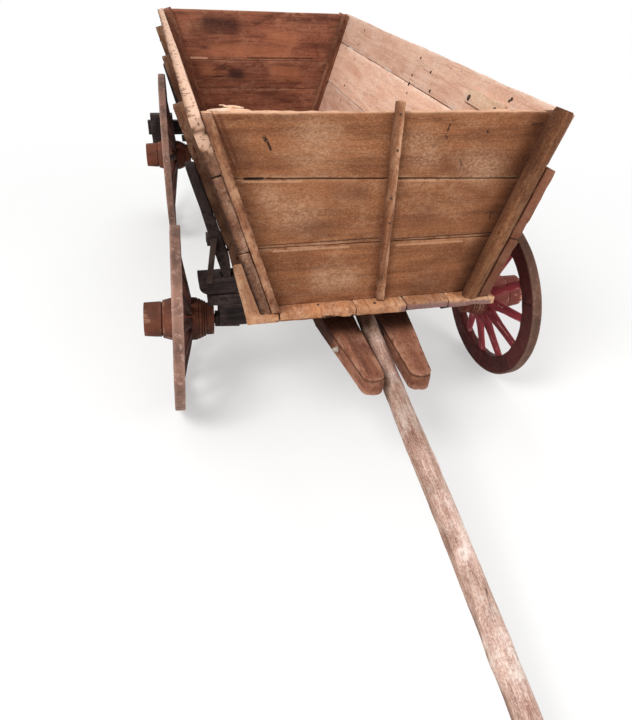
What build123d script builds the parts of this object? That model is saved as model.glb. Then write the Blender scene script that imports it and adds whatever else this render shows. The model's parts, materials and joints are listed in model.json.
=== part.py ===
from build123d import *
import math
import os

# Four-wheeled bullock cart with a flared plank box and a single draught pole.
# Millimetres. +X is the cart's left-to-right as seen from the front, the pole
# points to -Y, +Z is up. The origin is on the ground under the kingpin.

# Wheels
FRONT_WHEEL_RADIUS = 400.0
REAR_WHEEL_RADIUS = 505.0
FRONT_SPOKES = 12
REAR_SPOKES = 14
FRONT_SPOKE_PHASE = 22.5
REAR_SPOKE_PHASE = 0.0
SPOKES_PER_FELLOE = 2
TYRE_WIDTH = 43.0
TYRE_THICKNESS = 10.0
FELLOE_DEPTH = 80.0
FELLOE_FLATS_PER_SPOKE = 5
FELLOE_JOINT = 1.5
WHEELBASE = 1982.0
FRONT_TRACK_OUT = 129.0
REAR_TRACK_OUT = 42.0
FRONT_ARM_RISE = 3.5
REAR_ARM_RISE = 0.8
ARM_SWEEP = 1.7

# Hub, turned about the wheel's axis; x runs outwards from the rim's middle
HUB_FLATS_PER_SPOKE = 3
HUB_OUTER_END = 122.0
HUB_INNER_END = -155.0
HUB_OUTER_RADIUS = 74.0
HUB_INNER_RADIUS = 67.0
HUB_BREAST_RADIUS = 94.0
HUB_BREAST_OUTER = 30.0
HUB_BREAST_INNER = -72.0

# Spokes, each an eight-sided bar that leans out from the hub to the rim
DISH = 47.0
SPOKE_HUB_WIDTH = 38.0
SPOKE_HUB_THICKNESS = 32.0
SPOKE_RIM_WIDTH = 32.0
SPOKE_RIM_THICKNESS = 24.0
SPOKE_RIM_INSET = 3.0
SPOKE_CHAMFER_SHARE = 0.25
SPOKE_TENON = 14.0

# Axle arms and pins
ARM_RADIUS = 22.0
ARM_TIP = 20.0
SHANK_WIDTH = 52.0
SHANK_LENGTH = 90.0
SHOULDER_LENGTH = 18.0
RUNNING_CLEARANCE = 0.05
MOVING_CLEARANCE = 6.0
LINCHPIN_WIDTH = 10.0
LINCHPIN_LENGTH = 76.0
KINGPIN_RADIUS = 15.0
KINGPIN_NUT_RADIUS = 30.0
KINGPIN_NUT_HEIGHT = 14.0

# Heights of the stacked timbers under the floor, which clears the rear hubs.
# The beam height is the rear one; the front beam reaches from its own arms up to the blocks.
REAR_HUB_GAP = 5.0
AXLE_BED = 25.0
AXLE_BEAM_HEIGHT = 124.0
BLOCK_HEIGHT = 50.0
TURNING_GAP = 5.0
BOLSTER_HEIGHT = 93.0
FLOOR_THICKNESS = 32.0
REAR_BOLSTER_HEIGHT = 24.0

# Timbers across the cart
BOLSTER_SHORT_OF_RIM = 101.0
BOLSTER_DEPTH = 90.0
BOLSTER_END_RADIUS = 40.0
REAR_BOLSTER_PAST_STAKE = 36.0
AXLE_BEAM_DEPTH = 96.0
BLOCK_INNER = 205.0
BLOCK_SHORT_OF_RIM = 134.0

# The box: inner half widths, heights above the floor, planks
BOX_HEIGHT = 680.0
BOTTOM_HALF_WIDTH = 415.0
TOP_HALF_WIDTH = 622.0
REAR_SPREAD = 28.0
WALL_THICKNESS = 40.0
BOARD_THICKNESS = 28.0
BOARD_TOP_GAP = 3.0
PLANK_GAP = 3.0
EDGE_GAP = 1.0
BOX_FRONT = -386.0
BOX_FRONT_LEAN = 36.0
FRONT_SEAMS = (230.0, 460.0)
WALL_SEAMS = (245.0, 505.0)
TAIL_SEAMS = (185.0, 372.0)

# Wall planks from the bottom up: how far each runs ahead of the front board at its foot and at its head
LEFT_WALL_AHEAD = ((54.0, 36.0), (36.0, 17.0), (17.0, 4.0))
RIGHT_WALL_AHEAD = ((52.0, 52.0), (52.0, 44.0), (-16.0, -16.0))

# Outer ribs of each wall
RIB_WIDTH = 52.0
RIB_DEPTH = 42.0
RIB_DROP = 40.0
MIDDLE_RIB = 960.0

# Stakes that stand in the bolsters and lean towards the ribs
STAKE_WIDTH = 72.0
STAKE_THICKNESS = 34.0
STAKE_RISE = 412.0
STAKE_FOOT_GAP = 22.0
STAKE_HEAD_GAP = 2.0
STAKE_FIT = 0.5
STRUT_WIDTH = 24.0
STRUT_THICKNESS = 6.0
STRUT_RISE = 130.0
STRUT_FOOT_DROP = 38.0
STRUT_FOOT_INSET = 42.0
STRUT_BOLT_RADIUS = 7.0

# Battens and the log against the front board
CENTRE_BATTEN_X = 14.0
CENTRE_BATTEN_WIDTH = 30.0
CENTRE_BATTEN_THICKNESS = 24.0
CENTRE_BATTEN_RISE = 28.0
CORNER_BATTEN_WIDTH = 30.0
CORNER_BATTEN_THICKNESS = 60.0
BATTEN_FOOT_GAP = 3.0
BATTEN_HEAD_DROP = 6.0
LOG_SIDES = 14
LOG_FOOT_RADIUS = 30.0
LOG_HEAD_RADIUS = 35.0
LOG_CLEARANCE = 3.0
LOG_HEAD_AHEAD = 22.0
LOG_RISE = 10.0

# Slat nailed inside the right wall
PATCH_START = 366.0
PATCH_LENGTH = 340.0
PATCH_DROP = 65.0
PATCH_WIDTH = 60.0
PATCH_THICKNESS = 14.0

# Tailboard and its guides
TAIL_INSET = 42.0
TAIL_CLEARANCE = 6.0
TAIL_BATTENS = (-300.0, 300.0)
TAIL_BATTEN_WIDTH = 60.0
TAIL_BATTEN_THICKNESS = 24.0
GUIDE_WIDTH = 52.0
GUIDE_DEPTH = 34.0
GUIDE_DROP = 12.0

# Floor: reach past the box, then for each plank its right edge, the gap after it and its setback
LEDGE = 66.0
FLOOR_LEFT = -(BOTTOM_HALF_WIDTH + 90.0)
FLOOR_RIGHT = BOTTOM_HALF_WIDTH + 70.0
FLOOR_PLANKS = (
    (-386.0, 3.0, 0.0),
    (-94.0, 3.0, 3.0),
    (108.0, 6.0, 0.0),
    (285.0, 4.0, 9.0),
    (FLOOR_RIGHT, 0.0, 4.0),
)

# Draught gear
HOUND_THICKNESS = 70.0
HOUND_FRONT = -722.0
HOUND_REAR = 260.0
HOUND_INNER = 48.0
HOUND_OUTER_REAR = 192.0
HOUND_OUTER_FRONT = 126.0
HOUND_SHOULDER = -240.0
HOUND_TIP_RADIUS = 36.0
SWAY_BAR_HALF_LENGTH = 240.0
SWAY_BAR_DEPTH = 50.0
SWAY_BAR_HEIGHT = 40.0
SWAY_BAR_INSET = 10.0
POLE_PIVOT_Y = -400.0
POLE_PIVOT_DROP = 30.0
POLE_BOLT_RADIUS = 9.0
POLE_BOLT_HEAD_RADIUS = 18.0
POLE_BOLT_HEAD_LENGTH = 14.0
POLE_TIP_Y = -2600.0
POLE_TAIL = 330.0
POLE_TAIL_RADIUS = 33.0
POLE_TIP_RADIUS = 44.0
POLE_BOW = 16.0
POLE_SIDES = 12
YOKE_HOLE_RADIUS = 11.0
YOKE_HOLE_BACK = 110.0

# Reach pole from the front bolster to the rear axle
REACH_WIDTH = 80.0
REACH_HEIGHT = 64.0
REACH_DROP = 22.0

# Brake behind the rear wheels, its pieces placed across from the rims' middle
BRAKE_BEAM_PAST_RIM = 122.0
BRAKE_BEAM_DEPTH = 52.0
BRAKE_BEAM_HEIGHT = 100.0
BRAKE_BEAM_DROP = 41.0
SHOE_DEPTH = 61.0
SHOE_INSIDE_RIM = 65.0
SHOE_OUTSIDE_RIM = 99.0
SHOE_HEIGHT = 215.0
SHOE_BELOW_BEAM = 52.0
SHOE_GAP = 8.0
HANGER_X = 400.0
HANGER_WIDTH = 56.0
HANGER_DEPTH = 48.0
HANGER_RISE = 40.0

# How far a cutting block runs past what it cuts
PAST = 60.0

# Worked-out heights
REAR_BOLSTER_BOTTOM = REAR_WHEEL_RADIUS + HUB_BREAST_RADIUS + REAR_HUB_GAP
REAR_BEAM_BOTTOM = REAR_BOLSTER_BOTTOM - AXLE_BEAM_HEIGHT
FLOOR_BOTTOM = REAR_BOLSTER_BOTTOM + REAR_BOLSTER_HEIGHT
FLOOR_TOP = FLOOR_BOTTOM + FLOOR_THICKNESS
BOX_TOP = FLOOR_TOP + BOX_HEIGHT
BOLSTER_BOTTOM = FLOOR_BOTTOM - BOLSTER_HEIGHT
BLOCK_TOP = BOLSTER_BOTTOM - TURNING_GAP
BEAM_TOP = BLOCK_TOP - BLOCK_HEIGHT
BEAM_BOTTOM = FRONT_WHEEL_RADIUS - AXLE_BED
HOUND_TOP = BLOCK_TOP
HOUND_BOTTOM = HOUND_TOP - HOUND_THICKNESS
POLE_PIVOT_Z = HOUND_TOP - POLE_PIVOT_DROP
STAKE_TOP = FLOOR_TOP + STAKE_RISE
STRUT_TOP = FLOOR_TOP + STRUT_RISE
REACH_TOP = FLOOR_BOTTOM - REACH_DROP
BRAKE_BEAM_TOP = FLOOR_BOTTOM - BRAKE_BEAM_DROP
BRAKE_BEAM_BOTTOM = BRAKE_BEAM_TOP - BRAKE_BEAM_HEIGHT

# Worked-out places along the cart, and slopes
BRAKE_BEAM_FRONT = WHEELBASE + REAR_WHEEL_RADIUS + SHOE_DEPTH
FLOOR_FRONT = BOX_FRONT - LEDGE
FLOOR_REAR = BRAKE_BEAM_FRONT - HANGER_DEPTH
TAIL_REAR = FLOOR_REAR - TAIL_INSET
TAIL_FACE = TAIL_REAR - BOARD_THICKNESS
FLARE = (TOP_HALF_WIDTH - BOTTOM_HALF_WIDTH) / BOX_HEIGHT
SPREAD = REAR_SPREAD / (TAIL_FACE - BOX_FRONT)
BOARD_ANGLE = math.atan2(BOX_FRONT_LEAN, BOX_HEIGHT)
RIBS = (0.0, MIDDLE_RIB, WHEELBASE)

# Bearers under the floor: place along the cart, reach past the floor's edge
BEARERS = ((360.0, 80.0), (1180.0, 55.0), (FLOOR_REAR - 30.0, 15.0))
BEARER_DEPTH = 60.0
BEARER_HEIGHT = 50.0


def inner_half_width(y, z):
    """Half the box's inner width at a place along the cart and a height."""
    return BOTTOM_HALF_WIDTH + FLARE * (z - FLOOR_TOP) + SPREAD * (y - BOX_FRONT)


def rib_outer(y, z):
    """How far out a rib's outer face stands."""
    return inner_half_width(y, z) + (WALL_THICKNESS + RIB_DEPTH) * math.sqrt(1 + FLARE ** 2)


def stake_slope(y):
    """Outward run of a stake for each millimetre of height."""
    foot = rib_outer(y, FLOOR_TOP) + STAKE_FOOT_GAP
    head = rib_outer(y, STAKE_TOP) + STAKE_HEAD_GAP
    return (head - foot) / STAKE_RISE


def stake_inner(y, z):
    """Where a stake's inner face stands at a height."""
    return rib_outer(y, FLOOR_TOP) + STAKE_FOOT_GAP + (z - FLOOR_TOP) * stake_slope(y)


def stake_run(y):
    """A stake's thickness measured level."""
    return STAKE_THICKNESS * math.sqrt(1 + stake_slope(y) ** 2)


# Worked-out places across the cart. The rear rims stand clear of the rear stakes.
FRONT_HALF_TRACK = TOP_HALF_WIDTH + FRONT_TRACK_OUT
REAR_HALF_TRACK = stake_inner(WHEELBASE, 2 * REAR_WHEEL_RADIUS) + stake_run(WHEELBASE) + REAR_TRACK_OUT
BOLSTER_HALF_LENGTH = FRONT_HALF_TRACK - BOLSTER_SHORT_OF_RIM
BLOCK_OUTER = FRONT_HALF_TRACK - BLOCK_SHORT_OF_RIM
REAR_BOLSTER_HALF_LENGTH = stake_inner(WHEELBASE, FLOOR_BOTTOM) + stake_run(WHEELBASE) + REAR_BOLSTER_PAST_STAKE
SHOE_INNER = REAR_HALF_TRACK - SHOE_INSIDE_RIM
SHOE_OUTER = REAR_HALF_TRACK + SHOE_OUTSIDE_RIM
BRAKE_BEAM_HALF_LENGTH = REAR_HALF_TRACK + BRAKE_BEAM_PAST_RIM
FRONT_BEAM_HALF_LENGTH = FRONT_HALF_TRACK + HUB_INNER_END - MOVING_CLEARANCE - SHOULDER_LENGTH
REAR_BEAM_HALF_LENGTH = REAR_HALF_TRACK + HUB_INNER_END - MOVING_CLEARANCE - SHOULDER_LENGTH


def block(x0, x1, y0, y1, z0, z1):
    """A squared timber between two corners."""
    size = (x1 - x0, y1 - y0, z1 - z0)
    place = ((x0 + x1) / 2, (y0 + y1) / 2, (z0 + z1) / 2)
    return Pos(*place) * Box(*size)


def prism(plane, points, thickness):
    """A flat outline on a plane, given a thickness along its normal."""
    return extrude(plane * Polygon(*points, align=None), thickness)


def rod(start, end, radius):
    """A round bar between two points."""
    start, end = Vector(*start), Vector(*end)
    axis = Plane(origin=start, z_dir=end - start)
    return axis * Cylinder(radius, (end - start).length, align=(Align.CENTER, Align.CENTER, Align.MIN))


def nut(start, end, radius):
    """A six-sided head or nut between two points."""
    start, end = Vector(*start), Vector(*end)
    axis = Plane(origin=start, z_dir=end - start)
    return extrude(axis * RegularPolygon(radius, 6), (end - start).length)


def many_sided(radius, sides):
    """Corners of a regular outline with a flat across each axis."""
    turns = [2 * math.pi * (index + 0.5) / sides for index in range(sides)]
    return [(radius * math.cos(turn), radius * math.sin(turn)) for turn in turns]


def eight_sided(thick, width, cut):
    """Corners of a bar's section with its edges taken off."""
    a, b = thick / 2, width / 2
    return [(a, cut - b), (a, b - cut), (a - cut, b), (cut - a, b),
            (-a, b - cut), (-a, cut - b), (cut - a, -b), (a - cut, -b)]


def hewn(sections):
    """A solid with flat faces from one outline to the next, each given with its plane."""
    rings = [[plane.from_local_coords(Vector(x, y, 0)) for x, y in outline] for plane, outline in sections]
    faces = [Face(Wire.make_polygon(ring, close=True)) for ring in (rings[0], rings[-1])]
    for ring, following in zip(rings, rings[1:]):
        for index in range(len(ring)):
            quad = (ring[index - 1], ring[index], following[index], following[index - 1])
            faces.append(Face(Wire.make_polygon(quad, close=True)))
    return Solid(Shell(faces))


def mirrored(piece):
    """The piece's twin across the cart's middle."""
    return mirror(piece, about=Plane.YZ)


def both_sides(piece):
    return [piece, mirrored(piece)]


def save(node, solids):
    """One STEP file for one node, its solids kept apart."""
    pieces = []
    for item in solids:
        pieces += item.solids()
    shape = pieces[0] if len(pieces) == 1 else Compound(children=pieces)
    shape.label = node
    export_step(shape, f"parts/{node}.step")


# Wheel pieces, in the wheel's own frame: +X out along the axle, +Z up

def spoke(radius, angle):
    """A spoke with level ends, so that its head lies flat on the felloe."""
    foot = (-DISH, 0, HUB_BREAST_RADIUS - SPOKE_TENON)
    head = (-SPOKE_RIM_INSET, 0, radius - TYRE_THICKNESS - FELLOE_DEPTH)
    sections = []
    for point, width, thick in ((foot, SPOKE_HUB_WIDTH, SPOKE_HUB_THICKNESS),
                                (head, SPOKE_RIM_WIDTH, SPOKE_RIM_THICKNESS)):
        sections.append((Plane(point), eight_sided(thick, width, SPOKE_CHAMFER_SHARE * thick)))
    return Rot(angle, 0, 0) * hewn(sections)


def across_wheel(x):
    """A plane across the wheel's axle, its X towards the first spoke."""
    return Plane(origin=(x, 0, 0), x_dir=(0, 0, 1), z_dir=(1, 0, 0))


def hub(count):
    """The turned hub, closely faceted so that a flat lies under each spoke's foot, and bored for the arm."""
    flats = count * HUB_FLATS_PER_SPOKE
    stations = (
        (HUB_INNER_END, HUB_INNER_RADIUS),
        (HUB_BREAST_INNER, HUB_BREAST_RADIUS),
        (HUB_BREAST_OUTER, HUB_BREAST_RADIUS),
        (HUB_OUTER_END, HUB_OUTER_RADIUS),
    )
    to_corner = 1 / math.cos(math.pi / flats)
    wood = hewn([(across_wheel(x), many_sided(radius * to_corner, flats)) for x, radius in stations])
    return wood - rod((HUB_INNER_END, 0, 0), (HUB_OUTER_END, 0, 0), ARM_RADIUS + RUNNING_CLEARANCE)


def tyre(radius):
    """The iron hoop."""
    middle = radius - TYRE_THICKNESS / 2
    return revolve(Pos(0, middle) * Rectangle(TYRE_WIDTH, TYRE_THICKNESS), Axis.X)


def felloes(radius, count):
    """Felloes hewn in flats, one flat under each spoke's head, with open joints between them."""
    outer = radius - TYRE_THICKNESS
    inner = outer - FELLOE_DEPTH
    flats = count * FELLOE_FLATS_PER_SPOKE
    rim = RegularPolygon(outer, flats) - RegularPolygon(inner, flats, major_radius=False)
    wood = extrude(across_wheel(-TYRE_WIDTH / 2) * Rot(0, 0, 180.0 / flats) * rim, TYRE_WIDTH)
    joints = []
    for index in range(0, count, SPOKES_PER_FELLOE):
        cut = block(-TYRE_WIDTH, TYRE_WIDTH, -FELLOE_JOINT / 2, FELLOE_JOINT / 2, inner - PAST, outer + PAST)
        joints.append(Rot((index - 0.5) * 360.0 / count, 0, 0) * cut)
    return wood - joints


def wheel(radius, count, phase):
    """Nodes of one wheel by name."""
    turn = Rot(phase, 0, 0)
    nave = hub(count)
    spokes = [spoke(radius, index * 360.0 / count) - nave for index in range(count)]
    return {
        "hub": [turn * nave],
        "spokes": [turn * piece for piece in spokes],
        "felloes": [turn * felloes(radius, count)],
        "tyre": [tyre(radius)],
    }


def axle_arm():
    """Iron arm with its square shank and linchpin, in the wheel's frame."""
    shoulder = HUB_INNER_END - MOVING_CLEARANCE
    half = SHANK_WIDTH / 2
    arm = rod((shoulder, 0, 0), (HUB_OUTER_END + ARM_TIP, 0, 0), ARM_RADIUS)
    arm += block(shoulder - SHOULDER_LENGTH - SHANK_LENGTH, shoulder, -half, half, -half, half)
    pin_x = HUB_OUTER_END + MOVING_CLEARANCE
    return arm + block(pin_x, pin_x + LINCHPIN_WIDTH, -LINCHPIN_WIDTH / 2, LINCHPIN_WIDTH / 2,
                       -LINCHPIN_LENGTH / 2, LINCHPIN_LENGTH / 2)


def wheel_place(side, half_track, y, radius, rise):
    """Frame of one wheel: X out along its arm, which rises and sweeps back a little."""
    tilt, sweep = math.radians(rise), math.radians(ARM_SWEEP)
    out = Vector(side * math.cos(tilt) * math.cos(sweep), math.cos(tilt) * math.sin(sweep), math.sin(tilt))
    centre_height = radius * math.cos(tilt) + TYRE_WIDTH / 2 * math.sin(tilt)
    ahead = Vector(0, 0, 1).cross(out)
    return Plane(origin=(side * half_track, y, centre_height), x_dir=out, z_dir=out.cross(ahead))


# Side walls, all made on the right

def wall_plane():
    """Plane of the right wall's inner face: X to the rear from the front board's foot, Y up the wall."""
    corner = (BOTTOM_HALF_WIDTH, BOX_FRONT, FLOOR_TOP)
    return Plane(origin=corner, x_dir=(SPREAD, 1, 0), z_dir=(1, -SPREAD, -FLARE))


def up_wall(rise):
    """Distance up the wall's face for a rise above the floor."""
    return rise * math.sqrt(1 + FLARE ** 2 / (1 + SPREAD ** 2))


def above_floor(piece):
    """The piece with what reaches below the floor's top sawn off level."""
    return piece - block(0, 2 * BOLSTER_HALF_LENGTH, FLOOR_FRONT - PAST, FLOOR_REAR + PAST,
                         FLOOR_BOTTOM - PAST, FLOOR_TOP)


def wall_planks(aheads):
    """Planks of one wall, each with its own front end."""
    length = FLOOR_REAR - BOX_FRONT
    edges = (0.0,) + WALL_SEAMS + (BOX_HEIGHT,)
    planks = []
    for low, high, (foot, head) in zip(edges, edges[1:], aheads):
        v0, v1 = up_wall(low), up_wall(high) - PLANK_GAP
        outline = ((-foot, v0), (length, v0), (length, v1), (-head, v1))
        planks.append(above_floor(prism(wall_plane(), outline, WALL_THICKNESS)))
    return planks


def wall_ribs():
    plane = wall_plane().offset(WALL_THICKNESS)
    top = up_wall(BOX_HEIGHT - RIB_DROP)
    ribs = []
    for y in RIBS:
        u0 = y - BOX_FRONT - RIB_WIDTH / 2
        u1 = u0 + RIB_WIDTH
        ribs.append(above_floor(prism(plane, ((u0, -PAST), (u1, -PAST), (u1, top), (u0, top)), RIB_DEPTH)))
    return ribs


def wall_patch():
    u0, u1 = PATCH_START, PATCH_START + PATCH_LENGTH
    v1 = up_wall(BOX_HEIGHT - PATCH_DROP)
    v0 = v1 - PATCH_WIDTH
    return prism(wall_plane(), ((u0, v0), (u1, v0), (u1, v1), (u0, v1)), -PATCH_THICKNESS)


# Front board and what stands against it

def front_plane():
    """Plane of the front board's outer face, leaning back a little."""
    normal = (0, -math.cos(BOARD_ANGLE), math.sin(BOARD_ANGLE))
    return Plane(origin=(0, BOX_FRONT, FLOOR_TOP), x_dir=(1, 0, 0), z_dir=normal)


def front_half(rise):
    """Half the front board's width at a rise above the floor."""
    y = BOX_FRONT + rise * math.tan(BOARD_ANGLE)
    return inner_half_width(y, FLOOR_TOP + rise) - EDGE_GAP - BOARD_TOP_GAP * rise / BOX_HEIGHT


def front_board():
    edges = (0.0,) + FRONT_SEAMS + (BOX_HEIGHT,)
    planks = []
    for low, high in zip(edges, edges[1:]):
        v0 = low / math.cos(BOARD_ANGLE) + EDGE_GAP
        v1 = high / math.cos(BOARD_ANGLE) - PLANK_GAP + EDGE_GAP
        a, b = front_half(low), front_half(high)
        planks.append(prism(front_plane(), ((-a, v0), (a, v0), (b, v1), (-b, v1)), -BOARD_THICKNESS))
    floor = block(FLOOR_LEFT, FLOOR_RIGHT, FLOOR_FRONT, 0, FLOOR_BOTTOM, FLOOR_TOP)
    return [plank - floor for plank in planks]


def centre_batten():
    top = BOX_HEIGHT / math.cos(BOARD_ANGLE) + CENTRE_BATTEN_RISE
    x0, x1 = CENTRE_BATTEN_X - CENTRE_BATTEN_WIDTH / 2, CENTRE_BATTEN_X + CENTRE_BATTEN_WIDTH / 2
    outline = ((x0, BATTEN_FOOT_GAP), (x1, BATTEN_FOOT_GAP), (x1, top), (x0, top))
    return prism(front_plane(), outline, CENTRE_BATTEN_THICKNESS)


def corner_batten():
    v0, v1 = BATTEN_FOOT_GAP, BOX_HEIGHT / math.cos(BOARD_ANGLE) - BATTEN_HEAD_DROP
    a, b = front_half(0) - EDGE_GAP, front_half(BOX_HEIGHT) - EDGE_GAP
    width = CORNER_BATTEN_WIDTH
    outline = ((-a, v0), (width - a, v0), (width - b, v1), (-b, v1))
    return prism(front_plane(), outline, CORNER_BATTEN_THICKNESS)


def corner_log():
    """A round log that stands on the ledge, in the corner of the board and the right wall."""
    ends = (
        (BOX_FRONT - LOG_FOOT_RADIUS - LOG_CLEARANCE, FLOOR_TOP - LOG_FOOT_RADIUS, LOG_FOOT_RADIUS),
        (BOX_FRONT - LOG_HEAD_AHEAD, BOX_TOP + LOG_RISE, LOG_HEAD_RADIUS),
    )
    foot, head = [Vector(inner_half_width(y, z) - radius - LOG_CLEARANCE, y, z) for y, z, radius in ends]
    sections = [(Plane(origin=place, x_dir=(0, 1, 0), z_dir=head - foot), many_sided(radius, LOG_SIDES))
                for place, radius in ((foot, LOG_FOOT_RADIUS), (head, LOG_HEAD_RADIUS))]
    return above_floor(hewn(sections))


# Tailboard, which lifts out between its guides

def tail_outline(low, high):
    a = inner_half_width(TAIL_FACE, low) - TAIL_CLEARANCE
    b = inner_half_width(TAIL_FACE, high) - TAIL_CLEARANCE
    return ((-a, low), (a, low), (b, high), (-b, high))


def tailboard_planks():
    plane = Plane(origin=(0, TAIL_REAR, 0), x_dir=(1, 0, 0), z_dir=(0, -1, 0))
    edges = [FLOOR_TOP + rise for rise in (TAIL_CLEARANCE,) + TAIL_SEAMS + (BOX_HEIGHT,)]
    return [prism(plane, tail_outline(low, high - PLANK_GAP), BOARD_THICKNESS)
            for low, high in zip(edges, edges[1:])]


def tailboard_battens():
    half = TAIL_BATTEN_WIDTH / 2
    return [block(x - half, x + half, TAIL_REAR, TAIL_REAR + TAIL_BATTEN_THICKNESS,
                  FLOOR_TOP + 2 * TAIL_CLEARANCE, BOX_TOP - 2 * TAIL_CLEARANCE) for x in TAIL_BATTENS]


def tailboard_guides():
    """Posts in the rear corners, one ahead of the tailboard and one behind it."""
    top = up_wall(BOX_HEIGHT - GUIDE_DROP)
    front = TAIL_FACE - TAIL_CLEARANCE
    rear = TAIL_REAR + TAIL_CLEARANCE
    guides = []
    for y0, y1 in ((front - GUIDE_DEPTH, front), (rear, rear + GUIDE_DEPTH)):
        u0, u1 = y0 - BOX_FRONT, y1 - BOX_FRONT
        post = prism(wall_plane(), ((u0, -PAST), (u1, -PAST), (u1, top), (u0, top)), -GUIDE_WIDTH)
        guides.append(above_floor(post))
    return guides


# Timbers under the floor

def floor_planks():
    planks = []
    left = FLOOR_LEFT
    for right, gap, setback in FLOOR_PLANKS:
        planks.append(block(left, right, FLOOR_FRONT + setback, FLOOR_REAR, FLOOR_BOTTOM, FLOOR_TOP))
        left = right + gap
    return planks


def bearers():
    """Cross bearers, notched over the reach pole where they meet it."""
    notch = reach_pole()
    return [block(FLOOR_LEFT - reach, -FLOOR_LEFT + reach, y - BEARER_DEPTH / 2, y + BEARER_DEPTH / 2,
                  FLOOR_BOTTOM - BEARER_HEIGHT, FLOOR_BOTTOM) - notch for y, reach in BEARERS]


def stake(y, foot_z, fit=0.0):
    """A right-hand stake that leans outwards from its bolster."""
    foot, head = stake_inner(y, foot_z) - fit, stake_inner(y, STAKE_TOP) - fit
    run = stake_run(y) + 2 * fit
    width = STAKE_WIDTH + 2 * fit
    plane = Plane(origin=(0, y + width / 2, 0), x_dir=(1, 0, 0), z_dir=(0, -1, 0))
    outline = ((foot, foot_z), (foot + run, foot_z), (head + run, STAKE_TOP), (head, STAKE_TOP))
    return prism(plane, outline, width)


def front_bolster():
    half = BOLSTER_HALF_LENGTH
    plane = Plane(origin=(0, BOLSTER_DEPTH / 2, 0), x_dir=(1, 0, 0), z_dir=(0, -1, 0))
    corners = ((-half, BOLSTER_BOTTOM), (half, BOLSTER_BOTTOM), (half, FLOOR_BOTTOM), (-half, FLOOR_BOTTOM))
    face = Polygon(*corners, align=None)
    low = face.vertices().sort_by(Axis.Y)[:2]
    body = extrude(plane * fillet(low, BOLSTER_END_RADIUS), BOLSTER_DEPTH)
    pin = rod((0, 0, BOLSTER_BOTTOM), (0, 0, FLOOR_BOTTOM), KINGPIN_RADIUS)
    return body - both_sides(stake(0, BOLSTER_BOTTOM, STAKE_FIT)) - pin


def rear_bolster():
    half = REAR_BOLSTER_HALF_LENGTH
    body = block(-half, half, WHEELBASE - BOLSTER_DEPTH / 2, WHEELBASE + BOLSTER_DEPTH / 2,
                 REAR_BOLSTER_BOTTOM, FLOOR_BOTTOM)
    return body - both_sides(stake(WHEELBASE, REAR_BOLSTER_BOTTOM, STAKE_FIT))


def stake_strut():
    """Flat iron brace from the front stake down to the bolster's front face, with its bolt."""
    top_x = stake_inner(0, STRUT_TOP) + stake_run(0) / 2
    foot_x = BOLSTER_HALF_LENGTH - STRUT_FOOT_INSET
    foot_z = FLOOR_BOTTOM - STRUT_FOOT_DROP
    half = STRUT_WIDTH / 2
    y = -BOLSTER_DEPTH / 2
    plane = Plane(origin=(0, y, 0), x_dir=(1, 0, 0), z_dir=(0, -1, 0))
    outline = ((foot_x - half, foot_z), (foot_x + half, foot_z), (top_x + half, STRUT_TOP), (top_x - half, STRUT_TOP))
    bolt_z = STRUT_TOP - half
    bolt = rod((top_x, -STAKE_WIDTH / 2, bolt_z), (top_x, y, bolt_z), STRUT_BOLT_RADIUS)
    return prism(plane, outline, STRUT_THICKNESS) + bolt


def kingpin():
    low = BEAM_BOTTOM - MOVING_CLEARANCE
    pin = rod((0, 0, low), (0, 0, FLOOR_BOTTOM), KINGPIN_RADIUS)
    return pin + nut((0, 0, low - KINGPIN_NUT_HEIGHT), (0, 0, low), KINGPIN_NUT_RADIUS)


def reach_pole():
    return block(-REACH_WIDTH / 2, REACH_WIDTH / 2, BOLSTER_DEPTH / 2, WHEELBASE - AXLE_BEAM_DEPTH / 2,
                 REACH_TOP - REACH_HEIGHT, REACH_TOP)


# Axles

FRONT_PLACES = [wheel_place(side, FRONT_HALF_TRACK, 0, FRONT_WHEEL_RADIUS, FRONT_ARM_RISE) for side in (-1, 1)]
REAR_PLACES = [wheel_place(side, REAR_HALF_TRACK, WHEELBASE, REAR_WHEEL_RADIUS, REAR_ARM_RISE) for side in (-1, 1)]


def front_beam(front_arms):
    """Front axle beam, bedded over the arms' shanks and bored for the kingpin."""
    half, depth = FRONT_BEAM_HALF_LENGTH, AXLE_BEAM_DEPTH / 2
    beam = block(-half, half, -depth, depth, BEAM_BOTTOM, BEAM_TOP)
    pin = rod((0, 0, BEAM_BOTTOM), (0, 0, BEAM_TOP), KINGPIN_RADIUS + RUNNING_CLEARANCE)
    return beam - front_arms - pin


def rear_beam(rear_arms):
    half, depth = REAR_BEAM_HALF_LENGTH, AXLE_BEAM_DEPTH / 2
    beam = block(-half, half, WHEELBASE - depth, WHEELBASE + depth, REAR_BEAM_BOTTOM, REAR_BOLSTER_BOTTOM)
    return beam - rear_arms


def axle_blocks():
    depth = AXLE_BEAM_DEPTH / 2
    return both_sides(block(BLOCK_INNER, BLOCK_OUTER, -depth, depth, BEAM_TOP, BLOCK_TOP))


# Draught gear

def hound():
    """Right-hand hound: a flat plank beside the pole with a rounded tip, notched over the axle beam."""
    outline = ((HOUND_INNER, HOUND_FRONT), (HOUND_OUTER_FRONT, HOUND_FRONT), (HOUND_OUTER_REAR, HOUND_SHOULDER),
               (HOUND_OUTER_REAR, HOUND_REAR), (HOUND_INNER, HOUND_REAR))
    face = Polygon(*outline, align=None)
    ends = face.vertices().sort_by(Axis.Y)[:2]
    plank = extrude(Pos(0, 0, HOUND_BOTTOM) * fillet(ends, HOUND_TIP_RADIUS), HOUND_THICKNESS)
    depth = AXLE_BEAM_DEPTH / 2
    plank -= block(0, 2 * HOUND_OUTER_REAR, -depth, depth, BEAM_BOTTOM, BEAM_TOP)
    return plank - pivot_bolt()


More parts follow.
